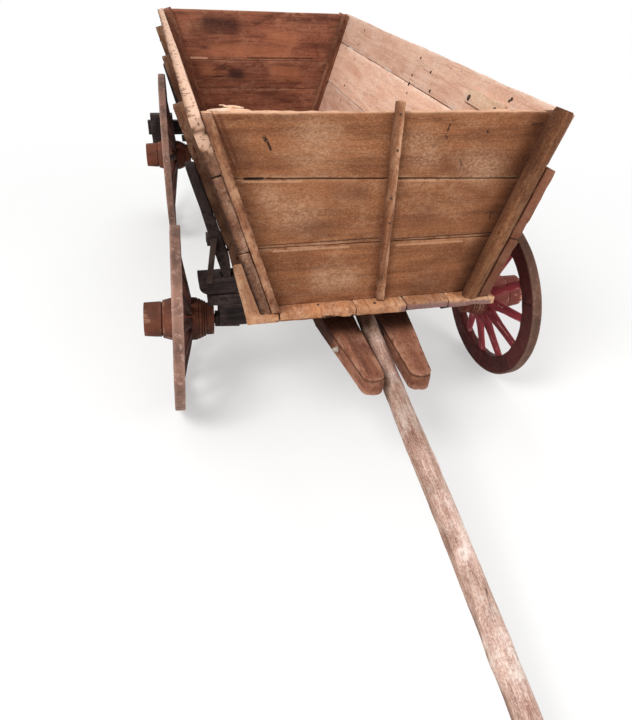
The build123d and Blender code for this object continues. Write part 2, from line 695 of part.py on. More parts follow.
def sway_bar():
    rear = HOUND_REAR - SWAY_BAR_INSET
    return block(-SWAY_BAR_HALF_LENGTH, SWAY_BAR_HALF_LENGTH, rear - SWAY_BAR_DEPTH, rear,
                 HOUND_BOTTOM - SWAY_BAR_HEIGHT, HOUND_BOTTOM)


def hound_outer(y):
    """Where the hound's outer edge stands between its shoulder and its tip."""
    share = (HOUND_SHOULDER - y) / (HOUND_SHOULDER - HOUND_FRONT)
    return HOUND_OUTER_REAR + (HOUND_OUTER_FRONT - HOUND_OUTER_REAR) * share


def pivot_bolt():
    """Cross bolt through both hounds on which the pole tilts, its heads sunk in their outer edges."""
    reach = hound_outer(POLE_PIVOT_Y)
    inner = reach - POLE_BOLT_HEAD_LENGTH
    bolt = rod((-inner, POLE_PIVOT_Y, POLE_PIVOT_Z), (inner, POLE_PIVOT_Y, POLE_PIVOT_Z), POLE_BOLT_RADIUS)
    for side in (-1, 1):
        bolt += nut((side * inner, POLE_PIVOT_Y, POLE_PIVOT_Z), (side * reach, POLE_PIVOT_Y, POLE_PIVOT_Z),
                    POLE_BOLT_HEAD_RADIUS)
    return bolt


def pole_slope():
    """Angle at which the tip rests on the ground."""
    run = POLE_PIVOT_Y - POLE_TIP_Y
    drop = POLE_PIVOT_Z - POLE_TIP_RADIUS * math.cos(math.pi / POLE_SIDES)
    angle = math.atan2(drop, run)
    for _ in range(4):
        drop = POLE_PIVOT_Z - POLE_TIP_RADIUS * math.cos(math.pi / POLE_SIDES) * math.cos(angle)
        angle = math.atan2(drop, run)
    return angle


def pole():
    """A rough log, thicker towards its tip and bowed up a little between the hounds and the tip."""
    slope = pole_slope()
    ahead = Vector(0, -math.cos(slope), -math.sin(slope))
    above = Vector(0, -math.sin(slope), math.cos(slope))
    pivot = Vector(0, POLE_PIVOT_Y, POLE_PIVOT_Z)
    underside = POLE_TIP_RADIUS * math.cos(math.pi / POLE_SIDES)
    reach = (POLE_PIVOT_Y - POLE_TIP_Y - underside * math.sin(slope)) / math.cos(slope)
    sections = []
    for share, bow in ((-POLE_TAIL / reach, 0.0), (0.25, 0.7), (0.5, 1.0), (1.0, 0.0)):
        centre = pivot + ahead * (reach * share) + above * (POLE_BOW * bow)
        radius = POLE_TAIL_RADIUS + (POLE_TIP_RADIUS - POLE_TAIL_RADIUS) * max(share, 0.0)
        section = Plane(origin=centre, x_dir=(1, 0, 0), z_dir=ahead)
        sections.append((section, many_sided(radius, POLE_SIDES)))
    log = hewn(sections)
    half = HOUND_OUTER_REAR
    bolt = rod((-half, POLE_PIVOT_Y, POLE_PIVOT_Z), (half, POLE_PIVOT_Y, POLE_PIVOT_Z),
               POLE_BOLT_RADIUS + RUNNING_CLEARANCE)
    yoke = pivot + ahead * (reach - YOKE_HOLE_BACK)
    hole = Plane(origin=yoke, z_dir=above) * Cylinder(YOKE_HOLE_RADIUS, 4 * POLE_TIP_RADIUS)
    return log - bolt - hole


# Brake

def brake_shoe():
    """Block behind a rear wheel, hollowed to its curve."""
    low = BRAKE_BEAM_BOTTOM - SHOE_BELOW_BEAM
    shoe = block(SHOE_INNER, SHOE_OUTER, WHEELBASE, BRAKE_BEAM_FRONT, low, low + SHOE_HEIGHT)
    curve = rod((0, WHEELBASE, REAR_WHEEL_RADIUS), (2 * SHOE_OUTER, WHEELBASE, REAR_WHEEL_RADIUS),
                REAR_WHEEL_RADIUS + SHOE_GAP)
    return shoe - curve


def brake_beam():
    return block(-BRAKE_BEAM_HALF_LENGTH, BRAKE_BEAM_HALF_LENGTH, BRAKE_BEAM_FRONT,
                 BRAKE_BEAM_FRONT + BRAKE_BEAM_DEPTH, BRAKE_BEAM_BOTTOM, BRAKE_BEAM_TOP)


def brake_hanger():
    half = HANGER_WIDTH / 2
    return block(HANGER_X - half, HANGER_X + half, FLOOR_REAR, BRAKE_BEAM_FRONT,
                 BRAKE_BEAM_BOTTOM, FLOOR_TOP + HANGER_RISE)


def save_box():
    """Floor, walls, boards and what stands on them."""
    ribs, guides = wall_ribs(), tailboard_guides()
    save("floor_planks", floor_planks())
    save("floor_bearers", bearers())
    save("front_board_planks", front_board())
    save("front_centre_batten", [centre_batten()])
    save("front_corner_batten", [corner_batten()])
    save("front_corner_log", [corner_log()])
    save("right_wall_planks", wall_planks(RIGHT_WALL_AHEAD))
    save("left_wall_planks", [mirrored(plank) for plank in wall_planks(LEFT_WALL_AHEAD)])
    save("right_wall_ribs", ribs)
    save("left_wall_ribs", [mirrored(rib) for rib in ribs])
    save("right_wall_patch", [wall_patch()])
    save("tailboard_planks", tailboard_planks())
    save("tailboard_battens", tailboard_battens())
    save("tailboard_guides", guides + [mirrored(guide) for guide in guides])


def save_running_gear():
    """Bolsters, axles, hounds, pole and brake."""
    save("front_bolster", [front_bolster()])
    save("front_bolster_stakes", both_sides(stake(0, BOLSTER_BOTTOM)))
    save("stake_struts", both_sides(stake_strut()))
    save("rear_bolster", [rear_bolster()])
    save("rear_bolster_stakes", both_sides(stake(WHEELBASE, REAR_BOLSTER_BOTTOM)))
    save("reach_pole", [reach_pole()])
    save("kingpin", [kingpin()])

    front_arms = [place * axle_arm() for place in FRONT_PLACES]
    rear_arms = [place * axle_arm() for place in REAR_PLACES]
    save("front_axle_beam", [front_beam(front_arms)])
    save("front_axle_arms", front_arms)
    save("axle_blocks", axle_blocks())
    save("rear_axle_beam", [rear_beam(rear_arms)])
    save("rear_axle_arms", rear_arms)

    right_hound = hound()
    save("right_hound", [right_hound])
    save("left_hound", [mirrored(right_hound)])
    save("sway_bar", [sway_bar()])
    save("pole_pivot_bolt", [pivot_bolt()])
    save("pole", [pole()])

    save("brake_beam", [brake_beam()])
    save("brake_shoes", both_sides(brake_shoe()))
    save("brake_hangers", both_sides(brake_hanger()))


def save_wheels():
    axles = (
        ("front", FRONT_WHEEL_RADIUS, FRONT_SPOKES, FRONT_SPOKE_PHASE, FRONT_PLACES),
        ("rear", REAR_WHEEL_RADIUS, REAR_SPOKES, REAR_SPOKE_PHASE, REAR_PLACES),
    )
    for axle, radius, count, phase, places in axles:
        pieces = wheel(radius, count, phase)
        for side, place in zip(("left", "right"), places):
            print(axle, side, "wheel centre", place.origin, "axis", place.x_dir)
            for name, solids in pieces.items():
                save(f"{axle}_{side}_{name}", [place * solid for solid in solids])


def main():
    os.makedirs("parts", exist_ok=True)
    save_box()
    save_running_gear()
    save_wheels()
    print("pole slope in degrees", math.degrees(pole_slope()))


main()
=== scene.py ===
import json
import math
import random

import bmesh
import bpy
import numpy as np
from mathutils import Matrix, Vector

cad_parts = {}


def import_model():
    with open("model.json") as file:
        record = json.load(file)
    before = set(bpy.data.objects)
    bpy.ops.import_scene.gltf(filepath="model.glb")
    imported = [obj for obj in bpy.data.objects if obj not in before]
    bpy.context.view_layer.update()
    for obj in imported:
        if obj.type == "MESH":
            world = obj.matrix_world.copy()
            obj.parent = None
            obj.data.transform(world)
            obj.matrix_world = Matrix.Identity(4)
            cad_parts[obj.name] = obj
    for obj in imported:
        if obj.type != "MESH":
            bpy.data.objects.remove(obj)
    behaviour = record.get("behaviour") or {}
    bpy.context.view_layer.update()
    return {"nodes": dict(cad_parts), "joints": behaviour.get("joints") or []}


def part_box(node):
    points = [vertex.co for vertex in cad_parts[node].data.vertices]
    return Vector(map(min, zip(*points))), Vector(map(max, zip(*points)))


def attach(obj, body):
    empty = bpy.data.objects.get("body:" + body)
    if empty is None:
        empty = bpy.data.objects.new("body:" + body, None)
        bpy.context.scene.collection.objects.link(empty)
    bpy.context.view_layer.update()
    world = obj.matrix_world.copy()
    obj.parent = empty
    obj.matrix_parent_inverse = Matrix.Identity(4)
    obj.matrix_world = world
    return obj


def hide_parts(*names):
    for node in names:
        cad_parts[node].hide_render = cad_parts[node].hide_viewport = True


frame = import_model()

# Metres, in the frame's axes: +X to the cart's right as seen from the front, +Y to its rear, +Z up

RIGHT = np.array((1.0, 0.0, 0.0))
BACK = np.array((0.0, 1.0, 0.0))
UP = np.array((0.0, 0.0, 1.0))

# Planes and heights of the box that more than one section uses
FLOOR_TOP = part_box("floor_planks")[1].z
BOARD_FOOT_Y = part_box("front_board_planks")[0].y
BOX_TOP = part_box("front_board_planks")[1].z

# The box's inner half width at the front board's foot, and how it grows upwards and to the rear
WALL_FOOT, WALL_FLARE, WALL_SPREAD = 0.415, 0.3044, 0.00994
WALL_THICKNESS, RIB_DEPTH = 0.040, 0.042
# How far the front board leans back for each metre of height, and the batten's thickness on it
BOARD_LEAN, BATTEN_THICKNESS = 0.0529, 0.0243

# How the CAD solids are read
WELD = 1e-5
FLAT_ANGLE = math.radians(1.0)
SHARP_ANGLE = math.radians(32.0)
SMOOTH_ANGLE = math.radians(38.0)


# Noise

def scatter(cells, seed):
    """A fixed random number, from -1 to 1, for each whole-numbered place."""
    mixed = cells @ np.array((127.1, 311.7, 74.7)) + seed * 53.9
    return 2 * np.modf(np.abs(np.sin(mixed) * 43758.5453))[0] - 1


def ripple(points, size, seed=0):
    """Smooth noise, from -1 to 1, with bumps of the given size."""
    places = np.asarray(points, float) / size + seed * 7.13
    cells = np.floor(places)
    part = places - cells
    part = part * part * (3 - 2 * part)
    total = np.zeros(len(places))
    for corner in np.ndindex(2, 2, 2):
        weight = np.prod(np.where(np.array(corner), part, 1 - part), axis=1)
        total += weight * scatter(cells + corner, seed)
    return total


def rough(points, size, seed=0, octaves=3):
    """Several sizes of ripple added up."""
    total = np.zeros(len(points))
    for octave in range(octaves):
        total += ripple(points, size / 2 ** octave, seed + octave) / 2 ** octave
    return total


def bump(value, low, high):
    """0 below low, 1 above high, and smooth between."""
    part = np.clip((value - low) / (high - low), 0, 1)
    return part * part * (3 - 2 * part)


def hill(value, middle, half):
    """1 in the middle and 0 from half away."""
    return 1 - bump(np.abs(value - middle), 0, half)


def front_end(points, low=-0.02, high=0.03):
    """1 at the box's front end and 0 behind it, changing between two places told from the board's foot."""
    return 1 - bump(points[:, 1], BOARD_FOOT_Y + low, BOARD_FOOT_Y + high)


def inner_half(y, z):
    """The box's inner half width."""
    return WALL_FOOT + WALL_FLARE * (z - FLOOR_TOP) + WALL_SPREAD * (y - BOARD_FOOT_Y)


def unit(vector):
    return vector / np.linalg.norm(vector)


def circle(count, start=0.0):
    """The turns of evenly spaced places around a circle."""
    return start + 2 * math.pi * np.arange(count) / count


def stacked(*parts):
    """Three coordinates of any shapes as the last axis of one array."""
    return np.stack(np.broadcast_arrays(*parts), -1)


def own_grain(places, seed, spread=9.0):
    """Grain coordinates moved to their own part of the noise."""
    return places + spread * scatter(np.full((1, 3), seed), 3)


# Making pieces

def joint_named(name):
    return next(joint for joint in frame["joints"] if joint["name"] == name)


def linked(name, data):
    """A new object in the scene."""
    made = bpy.data.objects.new(name, data)
    bpy.context.scene.collection.objects.link(made)
    return made


def add(name, points, faces, body, slot, material, replaces=(), smooth=True, **attributes):
    """A mesh piece that rides on a body; each attribute holds one value or vector per point."""
    mesh = bpy.data.meshes.new(name)
    mesh.from_pydata(np.asarray(points).tolist(), [], [list(face) for face in faces])
    mesh.validate()
    outward = bmesh.new()
    outward.from_mesh(mesh)
    bmesh.ops.recalc_face_normals(outward, faces=outward.faces)
    outward.to_mesh(mesh)
    outward.free()
    for key, values in attributes.items():
        values = np.asarray(values, float)
        kind, field = ("FLOAT_VECTOR", "vector") if values.ndim == 2 else ("FLOAT", "value")
        mesh.attributes.new(key, kind, "POINT").data.foreach_set(field, values.ravel())
    mesh.polygons.foreach_set("use_smooth", [smooth] * len(mesh.polygons))
    if smooth:
        mesh.set_sharp_from_angle(angle=SMOOTH_ANGLE)
    mesh.materials.append(material)
    piece = linked(name, mesh)
    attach(piece, body)
    if replaces:
        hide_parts(*replaces)
    return piece


class Heap:
    """Points, faces and attributes gathered from several like forms into one piece."""

    def __init__(self):
        self.points, self.faces, self.values = [], [], {}
        self.count = 0

    def put(self, points, faces, **attributes):
        points = np.asarray(points, float)
        self.points.append(points)
        self.faces += [[corner + self.count for corner in face] for face in faces]
        for key, values in attributes.items():
            self.values.setdefault(key, []).append(np.asarray(values, float))
        self.count += len(points)

    def make(self, name, body, slot, material, **options):
        values = {key: np.concatenate(parts) for key, parts in self.values.items()}
        return add(name, np.concatenate(self.points), self.faces, body, slot, material, **options, **values)


def islands(mesh):
    """Each separate solid of a bmesh as a list of its vertices."""
    left = set(mesh.verts)
    found = []
    for first in mesh.verts:
        if first not in left:
            continue
        left.discard(first)
        group, edge = [first], [first]
        while edge:
            vertex = edge.pop()
            for link in vertex.link_edges:
                other = link.other_vert(vertex)
                if other in left:
                    left.discard(other)
                    group.append(other)
                    edge.append(other)
        found.append(group)
    return found


def solids(node):
    """The node's solids as bmeshes, their flat faces made whole again."""
    whole = bmesh.new()
    whole.from_mesh(frame["nodes"][node].data)
    bmesh.ops.remove_doubles(whole, verts=whole.verts, dist=WELD)
    bmesh.ops.dissolve_limit(whole, angle_limit=FLAT_ANGLE, verts=whole.verts, edges=whole.edges)
    whole.verts.ensure_lookup_table()
    groups = [{vertex.index for vertex in group} for group in islands(whole)]
    parts = []
    for group in groups:
        part = whole.copy()
        bmesh.ops.delete(part, geom=[v for v in part.verts if v.index not in group], context="VERTS")
        part.normal_update()
        parts.append(part)
    whole.free()
    return parts


def own_axes(points):
    """A timber's directions along, across and through it, from where its corners lie."""
    spread = np.linalg.svd(points - points.mean(0), full_matrices=False)[2]
    axes = []
    for axis in spread:
        lead = axis[np.argmax(np.abs(axis))]
        axes.append(axis * np.sign(lead))
    return np.array(axes)


def edge_distance(points, segments):
    """Distance from each point to the nearest of some straight edges."""
    nearest = np.full(len(points), 1e9)
    for start, end in segments:
        line = end - start
        share = np.clip((points - start) @ line / (line @ line), 0, 1)
        gap = np.linalg.norm(points - start - share[:, None] * line, axis=1)
        nearest = np.minimum(nearest, gap)
    return nearest


def timber(heap, solid, seed, axes=None, edge=0.003, cell=(0.04, 0.03), warp=0.001, chip=0.003, shape=None,
           shade=None, bleach=None):
    """Turns one CAD solid into a worn timber: edges taken off, faces divided, warped and chipped."""
    corners = np.array([v.co for v in solid.verts])
    axes = own_axes(corners) if axes is None else np.array(axes)
    sharp = [e for e in solid.edges if len(e.link_faces) == 2 and e.calc_face_angle() > SHARP_ANGLE]
    segments = [tuple(np.array(v.co) for v in e.verts) for e in sharp]
    bmesh.ops.bevel(solid, geom=sharp, offset=edge, segments=2, profile=0.6, affect="EDGES",
                    clamp_overlap=True)
    for axis, size in zip(axes, cell):
        along = corners @ axis
        count = max(1, round((along.max() - along.min()) / size))
        for place in np.linspace(along.min(), along.max(), count + 1)[1:-1]:
            everything = solid.verts[:] + solid.edges[:] + solid.faces[:]
            bmesh.ops.bisect_plane(solid, geom=everything, dist=edge * 0.1, plane_co=Vector(axis * place),
                                   plane_no=Vector(axis))
    solid.normal_update()
    points = np.array([v.co for v in solid.verts])
    normals = np.array([v.normal for v in solid.verts])
    near = 1 - bump(edge_distance(points, segments), 0, 5 * edge)
    stretched = points @ axes.T * (0.35, 1, 1)
    push = warp * (ripple(stretched, 0.16, seed) + 0.5 * ripple(stretched, 0.04, seed + 1))
    push -= chip * near * bump(rough(stretched, 0.05, seed + 2), 0.1, 1.0)
    grain = own_grain(points @ axes.T, seed)
    wear = near * bump(ripple(points, 0.07, seed + 3), -0.7, 0.5)
    points = points + normals * push[:, None]
    if shape:
        points = shape(points, seed)
    solid.verts.index_update()
    faces = [[v.index for v in face.verts] for face in solid.faces]
    tone = np.full(len(points), scatter(np.full((1, 3), seed), 5)[0])
    dark = shade(points) if shade else np.zeros(len(points))
    if bleach:
        wear = np.maximum(wear, bleach(points))
    heap.put(points, faces, grain=grain, wear=wear, tone=tone, shade=dark, spot=points)
    solid.free()


def timbers(node, body, slot, material, first_seed=0, **options):
    """One piece that takes the place of a node of timbers."""
    heap = Heap()
    for index, solid in enumerate(solids(node)):
        timber(heap, solid, first_seed + index, **options)
    return heap.make(f"{node}_worn", body, slot, material, replaces=[node])


def band(one, other):
    """Faces between two closed rows of corners."""
    return [(one[n - 1], one[n], other[n], other[n - 1]) for n in range(len(one))]


def tube(rings, around, ends=True, skipped=()):
    """Faces of a tube whose points come ring by ring; skipped names cells by their ring and side."""
    faces = []
    for ring in range(rings - 1):
        for side in range(around):
            if (ring, side) in skipped:
                continue
            a, b = ring * around + side, ring * around + (side + 1) % around
            faces.append((a, b, b + around, a + around))
    if ends:
        faces.append(tuple(reversed(range(around))))
        faces.append(tuple(range((rings - 1) * around, rings * around)))
    return faces


def torus(rings, around):
    """Faces of a ring-shaped tube."""
    count = rings * around
    return [tuple(corner % count for corner in face) for face in tube(rings + 1, around, ends=False)]


# Materials

# What is left of a colour under full painted shade and dirt, and how fast red, green and blue go under it
BLACKEST, SHADE_AND_DIRT_POWERS, WARM_SHADE_AND_DIRT = 0.09, (1.0, 1.20, 1.36), (1.0, 1.38, 1.62)
GLOSS = 0.25


class Paint:
    """Builds the shader nodes of a material, or of the world, step by step."""

    def __init__(self, owner):
        owner.use_nodes = True
        self.owner = owner
        self.tree = owner.node_tree
        self.shader = self.tree.nodes.get("Principled BSDF")

    def feed(self, socket, value):
        """Links a value to a socket, or sets it there if it is a plain number or colour."""
        if isinstance(value, bpy.types.NodeSocket):
            self.tree.links.new(value, socket)
        else:
            socket.default_value = value

    def node(self, kind, inputs, **settings):
        made = self.tree.nodes.new(kind)
        for key, value in settings.items():
            setattr(made, key, value)
        for key, value in inputs.items():
            self.feed(made.inputs[key], value)
        return made

    def attribute(self, name, output="Fac"):
        return self.node("ShaderNodeAttribute", {}, attribute_name=name).outputs[output]

    def place(self, scale, shift=(0, 0, 0)):
        """The grain coordinates, in metres along, across and through the wood, stretched."""
        grain = self.attribute("grain", "Vector")
        return self.node("ShaderNodeMapping", {"Vector": grain, "Scale": scale, "Location": shift}).outputs[0]

    def noise(self, scale, detail=4.0, roughness=0.55, distortion=0.0, shift=(0, 0, 0)):
        """Noise whose three scales run along, across and through the grain."""
        inputs = {"Vector": self.place(scale, shift), "Scale": 1.0, "Detail": detail, "Roughness": roughness,
                  "Distortion": distortion}
        return self.node("ShaderNodeTexNoise", inputs).outputs["Fac"]

    def math(self, operation, a, b=0.0):
        return self.node("ShaderNodeMath", {0: a, 1: b}, operation=operation).outputs[0]

    def times(self, a, b):
        return self.math("MULTIPLY", a, b)

    def total(self, *parts):
        """The sum of some values, each times its share."""
        result = 0.0
        for value, share in parts:
            inputs = {0: value, 1: share, 2: result}
            result = self.node("ShaderNodeMath", inputs, operation="MULTIPLY_ADD").outputs[0]
        return result

    def span(self, value, low, high, to_low=0.0, to_high=1.0):
        """The value's place between low and high, as a smooth share."""
        inputs = {"Value": value, "From Min": low, "From Max": high, "To Min": to_low, "To Max": to_high}
        return self.node("ShaderNodeMapRange", inputs, interpolation_type="SMOOTHSTEP").outputs[0]

    def line(self, value, middle, half):
        """1 where the value is near the middle, 0 from half away."""
        away = self.math("ABSOLUTE", self.math("SUBTRACT", value, middle))
        return self.span(away, 0.0, half, 1.0, 0.0)

    def seen(self):
        """1 for the camera's own rays and for those by way of a mirror or a clear surface, else 0."""
        rays = self.node("ShaderNodeLightPath", {}).outputs
        direct = self.math("MAXIMUM", rays["Is Camera Ray"], rays["Is Glossy Ray"])
        return self.math("MAXIMUM", direct, rays["Is Transmission Ray"])

    def mix(self, share, a, b, blend="MIX"):
        made = self.node("ShaderNodeMix", {0: share}, data_type="RGBA", blend_type=blend)
        self.feed(made.inputs[6], a)
        self.feed(made.inputs[7], b)
        return made.outputs[2]

    def layered(self, colour, *layers):
        """The colour under some layers: the colour, the mask and the strength of each."""
        for over, mask, strength in layers:
            colour = self.mix(self.times(mask, strength), colour, over)
        return colour

    def darken(self, colour, tone=1.0, powers=SHADE_AND_DIRT_POWERS):
        """The colour under its painted shade and dirt, from none at 0 to nearly black at 1."""
        inputs = {"Value": self.attribute("shade"), "To Min": 1.0, "To Max": BLACKEST}
        kept = self.node("ShaderNodeMapRange", inputs).outputs[0]
        channels = {}
        for channel, power in enumerate(powers):
            channels[channel] = self.times(self.math("POWER", kept, power), tone)
        value = self.node("ShaderNodeCombineColor", channels).outputs[0]
        return self.mix(1.0, colour, value, "MULTIPLY")

    def finish(self, colour, roughness, height=None, depth=0.001, metallic=0.0):
        inputs = {"Base Color": colour, "Roughness": roughness, "Metallic": metallic,
                  "Specular IOR Level": GLOSS}
        for key, value in inputs.items():
            self.feed(self.shader.inputs[key], value)
        if height is not None:
            made = self.node("ShaderNodeBump", {"Height": height, "Strength": 1.0, "Distance": depth})
            self.feed(self.shader.inputs["Normal"], made.outputs[0])
        return self.owner


def rgb(red, green, blue):
    """A screen colour, 0 to 255 each, as linear light."""
    def linear(value):
        share = value / 255
        return share / 12.92 if share <= 0.04045 else ((share + 0.055) / 1.055) ** 2.4
    return (linear(red), linear(green), linear(blue), 1.0)


def dimmed(colour, factor):
    return tuple(value * factor for value in colour[:3]) + (1.0,)


def wood(name, light, main, dark, dust, dust_share=0.3, crack=0.6, depth=0.0012, streak=0.7, stain=0.4,
         fine=1.0, scratch=0.0, flecks=0.22, powers=SHADE_AND_DIRT_POWERS, marks=()):
    """Weathered wood: fibres and figure along the grain, checks, stains, scratches, dust and worn edges."""
    p = Paint(bpy.data.materials.new(name))
    light, main, dark, dust = (rgb(*colour) for colour in (light, main, dark, dust))
    deep = dimmed(dark, 0.45)
    figure = p.noise((1.4, 13.0, 13.0), 5.0, 0.6, 1.4)
    streaks = p.noise((3.2, 70.0, 70.0), 7.0, 0.68, 0.3)
    fibres = p.noise((14.0, 420.0, 420.0), 4.0, 0.65)
    stains = p.noise((5.0, 8.0, 8.0), 7.0, 0.66, 0.5, (3.1, 1.7, 0.4))
    blots = p.noise((34.0, 55.0, 55.0), 6.0, 0.68, 0.2, (0.2, 5.3, 2.2))
    grit = p.noise((130.0, 210.0, 210.0), 4.0, 0.7, 0.0, (1.2, 0.3, 7.2))
    where = p.span(p.noise((2.2, 6.0, 6.0), 2.0, 0.5, 0.0, (1.3, 8.8, 3.3)), 0.48, 0.60)
    check = p.line(p.noise((1.6, 38.0, 38.0), 2.5, 0.5, 0.25, (7.7, 2.9, 6.1)), 0.5, 0.010)
    check = p.times(check, where)
    colour = p.layered(
        p.mix(p.span(figure, 0.36, 0.64), dark, main),
        (light, p.span(streaks, 0.47, 0.66), streak),
        (deep, p.span(streaks, 0.45, 0.32), 0.75 * streak),
        (deep, p.span(stains, 0.53, 0.70), stain),
        (dust, p.times(p.span(stains, 0.54, 0.36), p.span(blots, 0.38, 0.58)), dust_share),
        (deep, p.span(blots, 0.54, 0.70), 0.25),
        (light, p.span(fibres, 0.50, 0.68), 0.32 * fine),
        (deep, p.span(fibres, 0.50, 0.34), 0.42 * fine),
        (dust, p.span(grit, 0.50, 0.66), flecks),
        (deep, p.span(grit, 0.50, 0.36), 0.38))
    if scratch:
        colour = p.layered(colour, (dust, scratches(p), scratch))
    colour = p.layered(colour, (dust, p.times(p.attribute("wear"), p.span(blots, 0.36, 0.56)), 0.7),
                       (dimmed(dark, 0.12), check, crack))
    colour = p.darken(colour, p.span(p.attribute("tone"), -1.0, 1.0, 0.88, 1.10), powers)
    height = p.total((streaks, 0.5), (fibres, 0.35), (blots, 0.35), (check, -0.9 * crack))
    if marks:
        colour, height = marked(p, colour, height, marks)
    return p.finish(colour, p.span(streaks, 0.3, 0.7, 0.95, 0.78), height, depth)


def scratches(p):
    """Thin scuffs that cross the grain at random, thicker in some places than in others."""
    first = p.line(p.noise((9.0, 21.0, 21.0), 3.0, 0.6, 2.0, (4.4, 0.3, 9.2)), 0.5, 0.007)
    second = p.line(p.noise((24.0, 11.0, 11.0), 3.0, 0.6, 2.5, (0.9, 6.1, 2.5)), 0.5, 0.006)
    broken = p.span(p.noise((40.0, 40.0, 40.0), 3.0, 0.6, 0.0, (5.5, 5.1, 0.2)), 0.40, 0.62)
    return p.times(p.math("MAXIMUM", first, second), broken)


def stroke(p, start, end, half, soft):
    """A mask along a straight stroke on an upright board, its ends told across and above the floor."""
    spot = p.attribute("spot", "Vector")
    start, end = [Vector((x, 0.0, FLOOR_TOP + rise)) for x, rise in (start, end)]
    length = (end - start).length
    ahead = (end - start) / length
    beside = Vector((-ahead.z, 0.0, ahead.x))

    def distance(direction, point):
        along = p.node("ShaderNodeVectorMath", {0: spot, 1: direction}, operation="DOT_PRODUCT")
        return p.math("ABSOLUTE", p.math("SUBTRACT", along.outputs["Value"], point.dot(direction)))

    side = p.span(distance(beside, start), half * (1 - soft), half * (1 + soft), 1.0, 0.0)
    ends = p.span(distance(ahead, (start + end) / 2), length / 2 - half, length / 2 + half, 1.0, 0.0)
    return p.times(side, ends)


def marked(p, colour, height, marks):
    """Colour and height with knots, cuts and scuffs, each a stroke between two places of an upright board."""
    rag = p.noise((90.0, 140.0, 140.0), 5.0, 0.65)
    scuffed = p.total((scratches(p), 0.55), (p.span(rag, 0.40, 0.66, 0.12, 0.55), 1.0))
    ragged = p.span(rag, 0.30, 0.48, 0.35, 1.0)
    for mark, x, z, end_x, end_z, half in marks:
        strength, ink, cut, soft = MARK_KINDS[mark]
        line = stroke(p, (x, z), (end_x, end_z), half, soft)
        mask = p.times(line, scuffed if mark == "cloud" else ragged)
        colour = p.layered(colour, (rgb(*ink), mask, strength))
        height = p.total((mask, -cut), (height, 1.0))
    return colour, height


def painted(name, paint, worn, bare_wood, wood_share=0.35, depth=0.0007):
    """Old paint on turned or shaved wood, rubbed through where it wears, with dirt in its grain."""
    p = Paint(bpy.data.materials.new(name))
    paint, worn, bare_wood = (rgb(*colour) for colour in (paint, worn, bare_wood))
    dirt_and_shade = dimmed(paint, 0.35)
    streaks = p.noise((7.0, 85.0, 85.0), 5.0, 0.6)
    blots = p.noise((16.0, 24.0, 24.0), 6.0, 0.65, 0.3, (3.3, 0.7, 1.9))
    broad = p.noise((4.0, 6.0, 6.0), 3.0, 0.5, 0.0, (8.1, 4.2, 6.6))
    grit = p.noise((150.0, 190.0, 190.0), 3.0, 0.6)
    rubbed = p.total((p.attribute("wear"), 0.9), (p.span(blots, 0.42, 0.30), 0.8))
    bare = p.times(p.span(rubbed, 0.25, 0.8), p.span(streaks, 0.40, 0.58))
    colour = p.layered(
        p.mix(p.span(broad, 0.35, 0.65), paint, worn),
        (dirt_and_shade, p.span(blots, 0.52, 0.70), 0.65),
        (bare_wood, bare, wood_share * 2),
        (dirt_and_shade, p.span(grit, 0.55, 0.75), 0.3))
    height = p.total((streaks, 0.5), (blots, 0.5), (bare, -0.25))
    return p.finish(p.darken(colour), p.span(blots, 0.3, 0.7, 0.62, 0.86), height, depth)


def iron(name, dark, rust, pale, pale_share=0.4, depth=0.0009):
    """Forged iron under rust, with pale dry patches and pits."""
    p = Paint(bpy.data.materials.new(name))
    dark, rust, pale = (rgb(*colour) for colour in (dark, rust, pale))
    broad = p.noise((9.0, 9.0, 9.0), 5.0, 0.6, 0.5)
    blots = p.noise((48.0, 48.0, 48.0), 6.0, 0.65, 0.2, (2.2, 4.4, 1.1))
    pits = p.noise((260.0, 260.0, 260.0), 3.0, 0.6)
    colour = p.layered(
        p.mix(p.span(broad, 0.36, 0.62), dark, rust),
        (pale, p.span(blots, 0.52, 0.66), pale_share),
        (dimmed(dark, 0.4), p.span(pits, 0.54, 0.72), 0.6),
        (pale, p.attribute("wear"), 0.35))
    height = p.total((blots, 0.7), (pits, 0.3))
    return p.finish(p.darken(colour), p.span(blots, 0.3, 0.7, 0.55, 0.85), height, depth, 0.25)


INK = (24, 13, 9)
# How strongly a mark shows, its colour, how deep it cuts and how soft its rim is
MARK_KINDS = {
    "cut": (1.0, INK, 1.6, 0.6),
    "line": (0.75, INK, 0.8, 0.6),
    "faint": (0.60, (92, 48, 32), 0.3, 0.6),
    "knot": (0.75, (70, 40, 28), 0.5, 0.6),
    # pale: painted highlights on the planks' edges along the front board's seams
    "pale": (0.38, (212, 164, 128), 0.0, 0.6),
    "edge": (0.80, (226, 178, 146), 0.0, 0.6),
    "cloud": (0.80, (206, 166, 134), 0.0, 0.98),
    "mauve": (1.0, (128, 96, 92), 0.2, 0.6),
    "blotch": (0.85, (52, 28, 25), 0.0, 0.98),
    "smudge": (0.30, (74, 42, 30), 0.0, 0.98),
    "glow": (0.42, (198, 128, 90), 0.0, 0.98),
}
